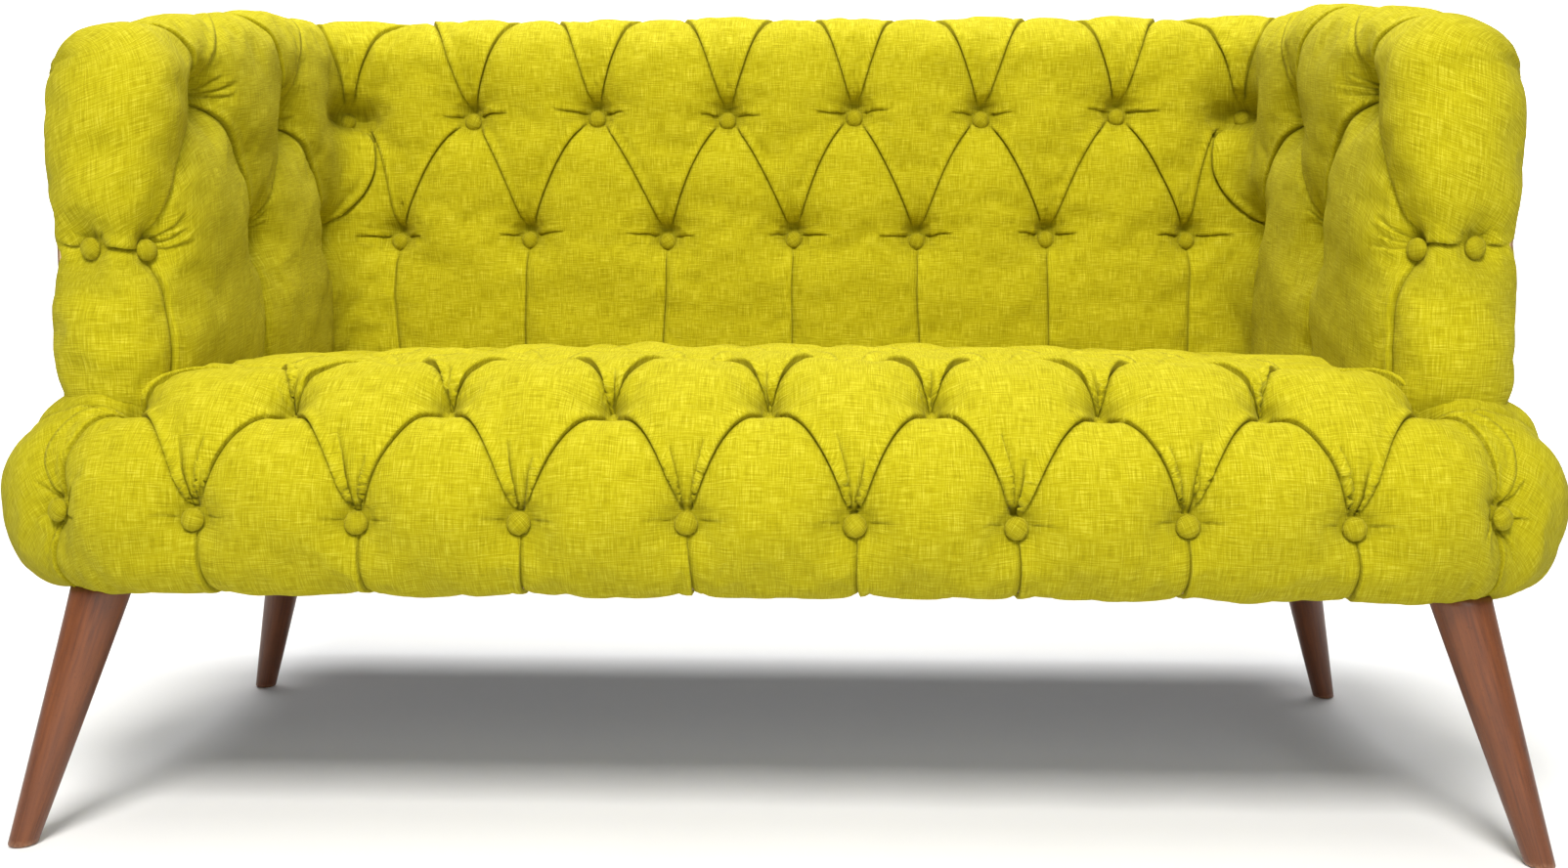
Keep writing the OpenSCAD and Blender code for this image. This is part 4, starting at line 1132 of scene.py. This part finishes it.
def seat_shade(uv):
    x, y = np.abs(uv[:, 0]), uv[:, 1]
    d = np.hypot(np.maximum(x - CORE_X, 0), np.maximum(CORE_Y - y, 0))
    return 0.20 * smooth((d - 0.150) / 0.09)


seat.shade = seat_shade


def seat_rise(uv):
    x, y = np.abs(uv[:, 0]), uv[:, 1]
    d = np.hypot(np.maximum(x - CORE_X, 0), np.maximum(CORE_Y - y, 0))
    ang = np.arctan2(np.maximum(x - CORE_X, 0), np.maximum(CORE_Y - y, 1e-6))
    corner = smooth((ang - 0.60) / 0.50) * smooth((d - 0.10) / 0.06)
    return (0.003 + 0.017 * corner) * (1 - smooth((d - 0.20) / 0.06))


seat.rise = seat_rise
seat.reach = 0.024
seat_ob = seat.build(LINEN)
for k in row1:
    button_at("seat_buttons", seat, k, slip=(0.0, -0.0020))
for k in row2 + row3 + row4 + row5 + row6:
    button_at("seat_buttons", seat, k, lift=-0.0095 if k in row2 else -0.0035, slip=(0.0, 0.0030))

# ------------------------------------------------------------------ the inside of the back and arms
wall = Panel("inside_tufted_cover", [(0, 0)], wall_base, seed=7, grid=0.0066, flip=False)
half = []
for s in np.linspace(0, SF, 40):
    half.append((s, BASE_Z - wall_path(np.array([s]))[5][0] + wall_path(np.array([s]))[4][0]))
FRONT_L = float(wall_length(SF)) - 0.006
BAND_L = FRONT_L + 0.022
bottom_q = half[-1][1]
right = half + [(SF + BAND_L, bottom_q), (SF + BAND_L, -0.012), (SF + FRONT_L, 0.0)]
for k in range(1, 12):
    t = k / 12 * math.pi / 2
    right.append((SF + FRONT_L * math.cos(t), FRONT_L * math.sin(t)))
for s in np.linspace(SF, 0, 90):
    right.append((s, float(wall_length(s)) - 0.006))
loop = right[:-1] + [(-a, b) for a, b in right[::-1]][:-1]
wall.border = np.array(loop)


def tuft_z(s, z, depth, *more):
    return wall.tuft(s, wall_q(s, z), depth, *more)


UPX = [-.401, -.243, -.078, .081, .239, .407]
LOX = [-.498, -.331, -.155, .005, .160, .322, .497]
upper = [tuft_z(x, .720 + (.002 if i % 2 else -.001), 0.031, 0.009, 0.028, 0.009) for i, x in enumerate(UPX)]
lower = [tuft_z(x, .570 + (.001 if i % 2 else -.001), 0.031, 0.009, 0.028, 0.009) for i, x in enumerate(LOX)]
CORNER_S = (S1 + S2) / 2
arms = {}
for s in (-1, 1):
    arms[s] = dict(
        c=tuft_z(s * (CORNER_S - 0.010), .718, 0.050, 0.004, 0.020),
        u2=tuft_z(s * arm_s(0.066), .694, 0.038, 0.010, 0.032), u1=tuft_z(s * arm_s(-0.156), .690, 0.038, 0.010, 0.034),
        l2=tuft_z(s * arm_s(0.185), .570, 0.036, 0.008, 0.028), l1=tuft_z(s * arm_s(-0.034), .558, 0.036, 0.008, 0.030),
        f1=tuft_z(s * (SF + TOP_R_ARM * math.radians(33)), .540, 0.024, 0.010, 0.030, 0.003),
        f2=tuft_z(s * (SF + TOP_R_ARM * math.pi / 2 + 0.030), .541, 0.017, 0.008, 0.026, 0.004),
    )
rng = np.random.default_rng(5)
for i in range(6):
    add_arch(wall, lower[i], upper[i], 0.03, 0.125 + 0.02 * rng.random(), 0.0050, 0.9)
    add_arch(wall, lower[i + 1], upper[i], 0.03, 0.055 + 0.03 * rng.random(), 0.0050, 0.9)
# up over the top roll
for i, k in enumerate(upper):
    u, q, _ = wall.tufts[k]
    for s in (-1, 1):
        w = 0.060 + (0.003 if (i + s) % 2 else -0.002)
        L = float(wall_length(u))
        pts = [(u + s * w * 0.30, q + 0.055), (u + s * w * 0.62, q + 0.115), (u + s * w * 0.92, q + 0.165), (u + s * w * 1.02, q + 0.20), (u + s * w * 1.04, q + 0.235)]
        wall.pleat(k, (u + s * w * 1.05, L - 0.0062), via=pts, lip=s, mid=0.0050, fold=1.1, end_depth=0.003)
for i, k in enumerate(lower):
    u, q, _ = wall.tufts[k]
    zb = BASE_Z - wall_path(np.array([abs(u)]))[5][0] + wall_path(np.array([abs(u)]))[4][0]
    wall.pleat(k, (u + (0.002, -.006, -.004, 0, .004, .004, .0)[i], zb + 0.0003), lip=-1 if i < 4 else 1, mid=0.0060, end_depth=0.022, fold=0.8)
for s in (-1, 1):
    A = arms[s]
    lo = lower[0] if s < 0 else lower[6]
    hi = upper[0] if s < 0 else upper[5]
    cu, cq, _ = wall.tufts[A["c"]]
    add_arch(wall, lo, A["c"], 0.05, 0.16, 0.010, 1.0)
    add_arch(wall, A["l2"], A["c"], -0.24, -0.40, 0.007, 1.0)
    add_arch(wall, A["l2"], A["u2"], 0.08, 0.17, 0.009, 1.1)
    add_arch(wall, A["l1"], A["u2"], 0.02, 0.10, 0.007, 0.7)
    add_arch(wall, A["l1"], A["u1"], 0.08, 0.17, 0.009, 1.1)
    add_arch(wall, A["f1"], A["u1"], 0.13, 0.26, 0.009, 0.9)
    # over the arm's top, in pairs that meet near its crest
    def over(k, to_y, to_q, end_y, lip, bend=0.0, mid=0.0060, fold=1.0):
        u, q, _ = wall.tufts[k]
        tu = s * arm_s(to_y)
        eu = s * arm_s(end_y)
        L = float(wall_length(eu))
        m1 = (u + (tu - u) * 0.30 + bend * s, q + (to_q - q) * 0.42)
        m2 = (u + (tu - u) * 0.68 + bend * s * 0.8, q + (to_q - q) * 0.74)
        wall.pleat(k, (eu, L - 0.0062), via=[m1, m2, (tu, to_q), ((tu + eu) / 2, (to_q + L) / 2)], lip=lip, mid=mid, fold=fold, end_depth=0.004)
    over(A["u1"], -0.215, 0.082, -0.232, s, bend=0.0)
    over(A["u1"], -0.060, 0.088, -0.052, -s)
    over(A["u2"], -0.018, 0.088, -0.030, s)
    over(A["u2"], 0.155, 0.090, 0.165, -s)
    # from the corner tuft: forward along the arm, and over the back
    u, q, _ = wall.tufts[A["c"]]
    L = float(wall_length(u))
    wall.pleat(A["c"], (s * arm_s(0.205), float(wall_length(arm_s(0.205))) - 0.0062), via=[(u + s * 0.012, q + 0.05), (u + s * 0.028, q + 0.10), (s * arm_s(0.200), 0.105)], lip=s, mid=0.0075, fold=1.0, end_depth=0.004)
    wall.pleat(A["c"], (s * 0.472, float(wall_length(0.472)) - 0.0062), via=[(s * (CORNER_S - 0.016), q + 0.055), (s * (CORNER_S - 0.037), q + 0.110), (s * 0.482, q + 0.165), (s * 0.474, q + 0.205)], lip=-s, mid=0.0075, fold=1.0, end_depth=0.004)
    # the arm's front: one level pleat through both tufts, out to the seam
    f1, f2 = wall.tufts[A["f1"]], wall.tufts[A["f2"]]
    wall.pleat(A["f1"], A["f2"], bow=0.02, lip=s, mid=0.007, fold=1.0, wave=0.001)
    wall.pleat(A["f2"], (s * (SF + FRONT_L - 0.020), f2[1] + 0.001), bow=-0.03, lip=s, mid=0.0020, fold=0.7, end_depth=0.0, fade=0.016)
    # down from the tufts to the seat
    wall.pleat(A["f1"], (f1[0] - s * 0.012, bottom_q + 0.0003), via=[(f1[0] - s * 0.010, f1[1] - 0.03), (f1[0] - s * 0.015, f1[1] - 0.075)], lip=-s, mid=0.007, fold=0.9, end_depth=0.016)
    for key, md in (("l1", 0.0045), ("l2", 0.005)):
        u, q, _ = wall.tufts[A[key]]
        p5 = wall_path(np.array([abs(u)]))
        zb = BASE_Z - p5[5][0] + p5[4][0]
        wall.pleat(A[key], (u + s * 0.006, zb + 0.0003), lip=s, mid=md, end_depth=0.02, fold=0.5)
    # wrinkles
    for key, angs in (("u1", ((3.02, .060), (3.24, .055), (2.75, .045))), ("u2", ((3.1, .035),)), ("l1", ((2.45, .042), (2.75, .035))), ("l2", ((2.5, .036),)), ("f1", ((2.55, .052), (2.85, .045), (3.15, .050))), ("f2", ((0.75, .022), (2.5, .022)))):
        u, q, _ = wall.tufts[A[key]]
        for ang, ln in angs:
            wall.pucker(A[key], ang if s > 0 else math.pi - ang, ln, 0.05, 0.52, 1)
for i, k in enumerate(upper + lower):
    for sgn in (1, -1):
        ang = 0.13 + 0.05 * math.sin(i * 1.9 + sgn)
        wall.pucker(k, ang if sgn > 0 else math.pi - ang, .042 + .009 * math.sin(i * 2.7 + sgn), 0.10 * sgn * -1, 0.80 + 0.15 * math.sin(i * 1.3 + sgn), sgn)


def wall_border(uv):
    h = np.full(len(uv), np.nan)
    s, q = np.abs(uv[:, 0]), uv[:, 1]
    low = q < -0.25
    px, py, qx, qy, r, top = wall_path(np.minimum(s, SF))
    bottom = q < (BASE_Z - top + r) + 0.004
    h[bottom] = -0.024
    h[~bottom] = -0.002
    h[~bottom & (s > SF + BAND_L - 0.002) & (q < -0.005)] = 0.0012
    return h


wall.border_height = wall_border


def wall_rise(uv):
    x, q = np.abs(uv[:, 0]), uv[:, 1]
    arm = smooth((x - S2) / 0.10) * (1 - smooth(q / 0.05))
    pillow = np.exp(-(((x - SF + 0.035) / 0.075) ** 2) - ((q + 0.085) / 0.06) ** 2)
    return 0.003 + 0.007 * arm + 0.011 * pillow


wall.rise = wall_rise


def wall_weave(uv):
    x, q = np.abs(uv[:, 0]), uv[:, 1]
    w = smooth((x - SF + 0.050) / 0.035) * smooth((q + 0.205) / 0.04)     # the cloth runs askew over the arm's front
    return np.stack([uv[:, 0], q + 0.40 * np.maximum(x - SF + 0.05, 0) * w], 1)


def wall_shade(uv):
    x, q = np.abs(uv[:, 0]), uv[:, 1]
    return 0.21 * smooth((x - S1 + 0.02) / 0.06) * (1 - smooth((x - SF + 0.045) / 0.06)) * (1 - smooth((q + 0.01) / 0.07))


wall.weave, wall.shade = wall_weave, wall_shade
def wall_reach(uv):
    return 0.024 + 0.010 * smooth((np.abs(uv[:, 0]) - S2) / 0.10)


wall.reach = wall_reach
wall_ob = wall.build(LINEN)
for k in upper + lower:
    button_at("back_buttons", wall, k, slip=(0.0, -0.0045))
for s in (-1, 1):
    button_at("back_buttons", wall, arms[s]["c"], lift=-0.003, slip=(0.0, -0.001))
    g = "left_arm_buttons" if s < 0 else "right_arm_buttons"
    for key in ("u1", "u2", "l1", "l2", "f1", "f2"):
        button_at(g, wall, arms[s][key], slip=(0.0, -0.002))


def add_mesh(name, verts, faces, mat, uvs=None, smooth_shade=True):
    me = bpy.data.meshes.new(name)
    me.from_pydata([tuple(float(c) for c in v) for v in verts], [], [tuple(int(i) for i in f) for f in faces])
    if uvs is not None:
        layer = me.uv_layers.new(name="weave")
        flat = []
        for p in me.polygons:
            for k in p.loop_indices:
                flat += list(uvs[me.loops[k].vertex_index])
        layer.data.foreach_set("uv", flat)
    me.polygons.foreach_set("use_smooth", [smooth_shade] * len(me.polygons))
    me.materials.append(mat)
    ob = bpy.data.objects.new(name, me)
    SCENE.collection.objects.link(ob)
    return ob


# ------------------------------------------------------------------ covered buttons
def buttons(name, places):
    rng = np.random.default_rng(sum(map(ord, name)))
    R, H = 0.0105, 0.0072
    prof = [(0.0, H), (0.0022, H - 0.0001), (0.0044, H - 0.0005), (0.0064, H - 0.0013), (0.0081, H - 0.0025), (0.0094, H - 0.0040), (0.0102, H - 0.0055), (R, H - 0.0068), (0.0103, -0.0008), (0.0092, -0.0022), (0.0070, -0.0030)]
    seg = 40
    verts, faces, uvs = [], [], []
    for p, n in places:
        n = n / np.linalg.norm(n)
        up = np.array([0, 0, 1.0]) if abs(n[2]) < 0.9 else np.array([0, 1.0, 0])
        a = np.cross(up, n)
        a /= np.linalg.norm(a)
        b = np.cross(n, a)
        spin, tu, tv = rng.random() * 6.28, rng.random(), rng.random()
        lean = (rng.random(2) - 0.5) * 0.16
        n2 = n + a * lean[0] + b * lean[1]
        n2 /= np.linalg.norm(n2)
        a2 = np.cross(b, n2)
        a2 /= np.linalg.norm(a2)
        b2 = np.cross(n2, a2)
        base = len(verts)
        gather = rng.random(3) * 6.28
        verts.append(p + n2 * H)
        uvs.append((tu, tv))
        for r, h in prof[1:]:
            edge = max(0.0, (r / R - 0.72) / 0.28) if h > -0.001 else 1.0
            for k in range(seg):
                t = k / seg * 2 * math.pi
                wob = 0.00016 * edge * (math.sin(9 * t + gather[0]) + math.sin(14 * t + gather[1])) + 0.0001 * math.sin(3 * t + gather[2])
                q = p + (a2 * math.cos(t) + b2 * math.sin(t)) * (r + wob) + n2 * (h + wob * 0.5)
                verts.append(q)
                arc = r + (H - h) * 0.6
                uvs.append((tu + arc * math.cos(t + spin), tv + arc * math.sin(t + spin)))
        for k in range(seg):
            faces.append((base, base + 1 + k, base + 1 + (k + 1) % seg))
        rings = len(prof) - 1
        for i in range(rings - 1):
            for k in range(seg):
                k2 = (k + 1) % seg
                faces.append((base + 1 + i * seg + k, base + 1 + (i + 1) * seg + k, base + 1 + (i + 1) * seg + k2, base + 1 + i * seg + k2))
        faces.append(tuple(base + 1 + (rings - 1) * seg + k for k in range(seg))[::-1])
    return add_mesh(name, verts, faces, SHADED_BUTTON_LINEN, uvs)


PIECES = []
for group, places in BUTTONS.items():
    ob = buttons("covered_" + group, places)
    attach(ob, "root")
    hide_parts(group)
    PIECES.append(ob)


# ------------------------------------------------------------------ legs
def leg(name, cad):
    lo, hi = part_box(cad)
    co = np.array([v.co[:] for v in frame["nodes"][cad].data.vertices])
    zt, zb = co[:, 2].max(), co[:, 2].min()
    topring = co[co[:, 2] > zt - 0.002]
    foot = co[co[:, 2] < zb + 0.0005]
    ct = (topring.max(0) + topring.min(0)) / 2
    cf = (foot.max(0) + foot.min(0)) / 2
    d = ct - cf
    length = np.linalg.norm(d)
    d /= length
    e1 = np.cross(d, [0, 1, 0.0])
    e1 /= np.linalg.norm(e1)
    e2 = np.cross(d, e1)
    r0, r1 = 0.012, 0.026
    seg, verts, faces, uvs = 72, [], [], []
    # rings: rounded foot edge, then up the cone, then the flat top
    levels = [(0.0, 0.0022), (0.0004, 0.0011), (0.0012, 0.0004), (0.0022, 0.0)] + [(0.006 + (length - 0.006) * k / 24, 0.0) for k in range(25)]
    for t, inset in levels:
        for k in range(seg):
            w = k / seg * 2 * math.pi
            side = e1 * math.cos(w) + e2 * math.sin(w)
            r = r0 + (r1 - r0) * t / length - inset
            f = 1.0 - t / length
            q = cf + d * t + side * r
            # the foot is cut level with the floor and the top level with its plate
            q = q - d * ((side[2] * r / d[2]) * (f**8 + (1 - f) ** 8))
            verts.append(q)
            uvs.append((w * 0.02 + 0.3 * sum(map(ord, cad)) % 7, t))
    n = len(levels)
    for i in range(n - 1):
        for k in range(seg):
            k2 = (k + 1) % seg
            faces.append((i * seg + k, i * seg + k2, (i + 1) * seg + k2, (i + 1) * seg + k))
    faces.append(tuple(range(seg))[::-1])
    faces.append(tuple((n - 1) * seg + k for k in range(seg)))
    ob = add_mesh(name, verts, faces, WALNUT, uvs)
    me = ob.data
    # the seam of the wrap is moved on by one turn so that the grain doesn't run backwards there
    layer = me.uv_layers["weave"]
    for p in me.polygons:
        us = [layer.data[k].uv[0] for k in p.loop_indices]
        if len(us) == 4 and max(us) - min(us) > 0.06:
            for k in p.loop_indices:
                if layer.data[k].uv[0] < max(us) - 0.06:
                    layer.data[k].uv[0] += 0.02 * 2 * math.pi
        if len(us) > 4:
            p.use_smooth = False
    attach(ob, "root")
    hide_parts(cad)
    return ob


for cad in ("front_left_leg", "front_right_leg", "rear_left_leg", "rear_right_leg"):
    leg("turned_" + cad, cad)


# ------------------------------------------------------------------ plain outside cloth
def grid_sheet(name, fn, us, vs, mat, flip=False):
    uu, vv = np.meshgrid(us, vs)
    uv = np.stack([uu.ravel(), vv.ravel()], 1)
    p = fn(uv)
    nu, nv = len(us), len(vs)
    faces = []
    for j in range(nv - 1):
        for i in range(nu - 1):
            a = j * nu + i
            f = (a, a + 1, a + nu + 1, a + nu)
            faces.append(f[::-1] if flip else f)
    return add_mesh(name, p, faces, mat, uv)


def hem(dist, width=0.012):
    """A turned edge: two thicknesses with a line of stitches inside it."""
    return 0.0010 * (1 - smooth((dist - width) / 0.003)) - 0.0006 * np.exp(-(((dist - width) / 0.0012) ** 2))


OB_LO, OB_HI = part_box("outside_back_cover")
OA_LO, OA_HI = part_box("right_outside_arm_cover")
rng0 = np.random.default_rng(21)


def ripple(u, v, seed):
    r = np.random.default_rng(seed)
    out = np.zeros(len(u))
    for lam, a in ((0.5, 0.0011), (0.31, 0.0007), (0.17, 0.0004), (0.09, 0.0002)):
        t = r.random() * 6.28
        out += a * np.sin((u * math.cos(t) + v * math.sin(t)) * 6.283 / lam + r.random() * 6.28)
    return out


def back_sheet(uv):
    u, v = uv[:, 0], uv[:, 1]
    e = np.minimum(np.minimum(OB_HI.x - np.abs(u), v - OB_LO.z), OB_HI.z + 0.008 - v)
    edge = smooth(e / 0.05)
    y = Y1 - 0.0005 + (0.0012 + ripple(u, v, 4)) * edge * 0.6 + hem(e) * (e < 0.05)
    y = np.where(e < 0.004, y - 0.0045 * (1 - e / 0.004), y)
    x = np.clip(u, OB_LO.x + 0.001, OB_HI.x - 0.001)
    return np.stack([x, y, v], 1)


def axis(lo, hi, step):
    edge = [0, 0.001, 0.002, 0.004, 0.007, 0.010, 0.0115, 0.0125, 0.0135, 0.016, 0.020]
    mid = np.arange(lo + 0.026, hi - 0.024, step)
    return np.concatenate([[lo + k for k in edge], mid, [hi - k for k in edge[::-1]]])


OB_TOP = OB_HI.z + 0.008                              # slip stitched a little way up the roll
bu, bv = axis(OB_LO.x, OB_HI.x, 0.009), axis(OB_LO.z, OB_TOP, 0.009)
outside_back = grid_sheet("outside_back_sheet", back_sheet, bu, bv, LINEN, flip=True)
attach(outside_back, "root")
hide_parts("outside_back_cover")


def arm_seam(y):
    """Height at which the arm's outside cloth starts under its roll."""
    k = (y - ARM_FY) / 0.55
    return 0.747 + 0.095 * k + 0.017 * 4 * k * (1 - k) - TOP_R_ARM + 0.005


def outside_arm(side):
    yf, yr = ARM_Y0 + TOP_R_ARM + 0.001, Y1 - 0.0015
    z0 = OA_LO.z
    def fn(uv):
        u, w = uv[:, 0], uv[:, 1]                    # u along the arm from its front, w from 0 at the bottom to 1 at the seam
        run = yr - 0.013 - yf
        y = np.where(u < run, yf + u, yr - 0.013 + 0.013 * np.sin(np.clip((u - run) / 0.013, 0, math.pi / 2)))
        x = np.where(u < run, 0.0, -0.013 * (1 - np.cos(np.clip((u - run) / 0.013, 0, math.pi / 2))))
        over = np.maximum(u - run - 0.013 * math.pi / 2, 0)
        x = x - over
        x = x + 0.0012
        ztop = arm_seam(np.minimum(y, 0.30))
        ztop = np.where(u > run, OB_HI.z, ztop)
        z = z0 + (ztop - z0) * w
        e = np.minimum(np.minimum((ztop - z), z - z0), u + 0.008)
        edge = smooth(e / 0.05)
        puff = (0.0008 + ripple(u, z, 9 + side)) * edge * 0.6 + hem(e) * (e < 0.05)
        puff = np.where(e < 0.004, puff - 0.0045 * (1 - e / 0.004), puff)
        flat = u < run + 0.013 * 0.8
        xx = ARM_X1 - 0.0008 + x + np.where(flat, puff, 0)
        yy = y + np.where(flat, 0, puff * 0.4)
        return np.stack([side * xx, yy, z], 1)
    run = yr - yf
    us = np.concatenate([np.array([0, 0.001, 0.002, 0.004, 0.007, 0.010, 0.0115, 0.0125, 0.0135, 0.016, 0.020]) - 0.008, np.array([0.017, 0.022]), np.arange(0.028, run - 0.018, 0.009), run - 0.013 + np.linspace(0, 0.0204, 9), run - 0.013 + 0.0204 + np.array([0.004, 0.010])])
    ws = np.concatenate([[0, 0.002, 0.004, 0.008, 0.014, 0.020, 0.023, 0.025, 0.027, 0.032, 0.040], np.linspace(0.055, 0.945, 52), [0.96, 0.968, 0.973, 0.975, 0.977, 0.98, 0.986, 0.992, 0.996, 0.998, 1.0]])
    name = ("left" if side < 0 else "right")
    ob = grid_sheet(name + "_outside_arm_sheet", fn, us, ws, LINEN, flip=side < 0)
    # weave in metres of cloth
    layer = ob.data.uv_layers["weave"]
    for p in ob.data.polygons:
        for k in p.loop_indices:
            layer.data[k].uv[1] *= 0.53
    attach(ob, "root")
    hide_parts(name + "_outside_arm_cover")
    return ob


outside_arm(-1)
outside_arm(1)

# ------------------------------------------------------------------ underside
DC_LO, DC_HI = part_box("dust_cover")


def dust(uv):
    u, v = uv[:, 0], uv[:, 1]
    cut = np.maximum(0.0, 0.050 - (v - DC_LO.y))
    u = u * (DC_HI.x - cut) / DC_HI.x
    e = np.minimum(np.minimum(DC_HI.x - cut - np.abs(u), v - DC_LO.y), DC_HI.y - v)
    z = DC_LO.z + 0.0004 - 0.0022 * smooth(e / 0.18) + 0.8 * ripple(u, v, 31) * smooth(e / 0.05) - hem(e, 0.014) * 0.6
    staple = np.exp(-((np.mod(u + 0.02, 0.04) - 0.02) / 0.006) ** 2) + np.exp(-((np.mod(v + 0.02, 0.04) - 0.02) / 0.006) ** 2)
    z = z + 0.0008 * staple * np.exp(-(((e - 0.010) / 0.006) ** 2))
    return np.stack([u, v, z], 1)


dust_ob = grid_sheet("dust_cover_sheet", dust, axis(DC_LO.x, DC_HI.x, 0.010), axis(DC_LO.y, DC_HI.y, 0.010), DUST, flip=True)
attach(dust_ob, "root")
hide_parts("dust_cover")

for ob, cad, fill in ((seat_ob, ("seat_cover", "seat_foam", "seat_nose_foam"), 0.9), (wall_ob, ("inside_back_cover", "left_arm_cover", "right_arm_cover", "back_foam", "left_arm_foam", "right_arm_foam"), 0.9)):
    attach(ob, "root")
    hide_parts(*cad)

# ------------------------------------------------------------------ floor, light, camera
fm, nt, b = new_material("studio floor")
fsrc = nt.nodes.new("ShaderNodeTexCoord")
fn_ = noise(nt, fsrc.outputs["Object"], 3.0, 3.0)
nt.links.new(mix(nt, spread(nt, fn_, 0.3, 0.7), (0.88, 0.88, 0.88), (0.90, 0.90, 0.90)), b.inputs["Base Color"])
nt.links.new(spread(nt, fn_, 0.3, 0.7, 0.80, 0.86), b.inputs["Roughness"])
nt.links.new(bump(nt, noise(nt, fsrc.outputs["Object"], 400.0), 0.0001, 0.2), b.inputs["Normal"])
fxyz = node(nt, "ShaderNodeSeparateXYZ")                  # the far end is a lit white wall
nt.links.new(fsrc.outputs["Object"], fxyz.inputs[0])
b.inputs["Emission Color"].default_value = (1.0, 1.0, 1.0, 1.0)
nt.links.new(spread(nt, fxyz.outputs[1], 1.2, 3.4, 0.0, 0.95), b.inputs["Emission Strength"])
verts, faces = [], []
prof = [(-9.0, 0.0), (0.0, 0.0), (1.0, 0.0), (2.5, 0.0), (4.0, 0.0), (5.4, 0.0)] + [(5.4 + 1.6 * math.sin(t), 1.6 - 1.6 * math.cos(t)) for t in np.linspace(0.1, math.pi / 2, 14)] + [(7.0, 3.4)]
for y, z in prof:
    verts += [(-9.0, y, z - 0.0005), (9.0, y, z - 0.0005)]
for i in range(len(prof) - 1):
    faces.append((2 * i, 2 * i + 1, 2 * i + 3, 2 * i + 2))
floor = add_mesh("studio_floor", verts, faces, fm)
floor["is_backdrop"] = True

world = bpy.data.worlds.new("studio")
SCENE.world = world
world.use_nodes = True
bg = world.node_tree.nodes["Background"]
bg.inputs["Color"].default_value = (1.0, 1.0, 1.0, 1.0)
bg.inputs["Strength"].default_value = 0.10


def area(name, loc, target, size, power, color=(1, 1, 1), sy=None):
    l = bpy.data.lights.new(name, "AREA")
    l.shape = "RECTANGLE"
    l.size, l.size_y = size, sy or size
    l.energy, l.color = power, color
    o = bpy.data.objects.new(name, l)
    o.location = loc
    o.rotation_euler = (Vector(target) - Vector(loc)).to_track_quat("-Z", "Y").to_euler()
    SCENE.collection.objects.link(o)
    o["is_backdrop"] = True
    return o


area("key", (-0.15, -2.45, 3.0), (0.0, -0.1, 0.45), 1.2, 136, (1.0, 0.985, 0.96))
area("fill", (0.7, -3.2, 1.5), (0.0, 0.0, 0.45), 1.6, 30, (0.97, 0.985, 1.0))
area("top", (0.0, -0.3, 3.0), (0.0, 0.0, 0.5), 2.0, 34)
area("backdrop", (0.0, 1.4, 3.2), (0.0, 3.4, 1.0), 3.0, 170)

cam_data = bpy.data.cameras.new("camera")
cam_data.sensor_width = 36.0
cam_data.lens = 33.52
cam_data.clip_start = 0.05
cam_data.dof.use_dof = False
cam = bpy.data.objects.new("camera", cam_data)
cam.location = (0.0603, -1.6089, 0.4956)
cam.rotation_euler = (math.radians(84.60), math.radians(-0.03), math.radians(2.076))
SCENE.collection.objects.link(cam)
SCENE.camera = cam
SCENE.view_settings.view_transform = "Standard"
SCENE.view_settings.look = "None"
SCENE.view_settings.exposure = 0.0

lo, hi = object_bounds()
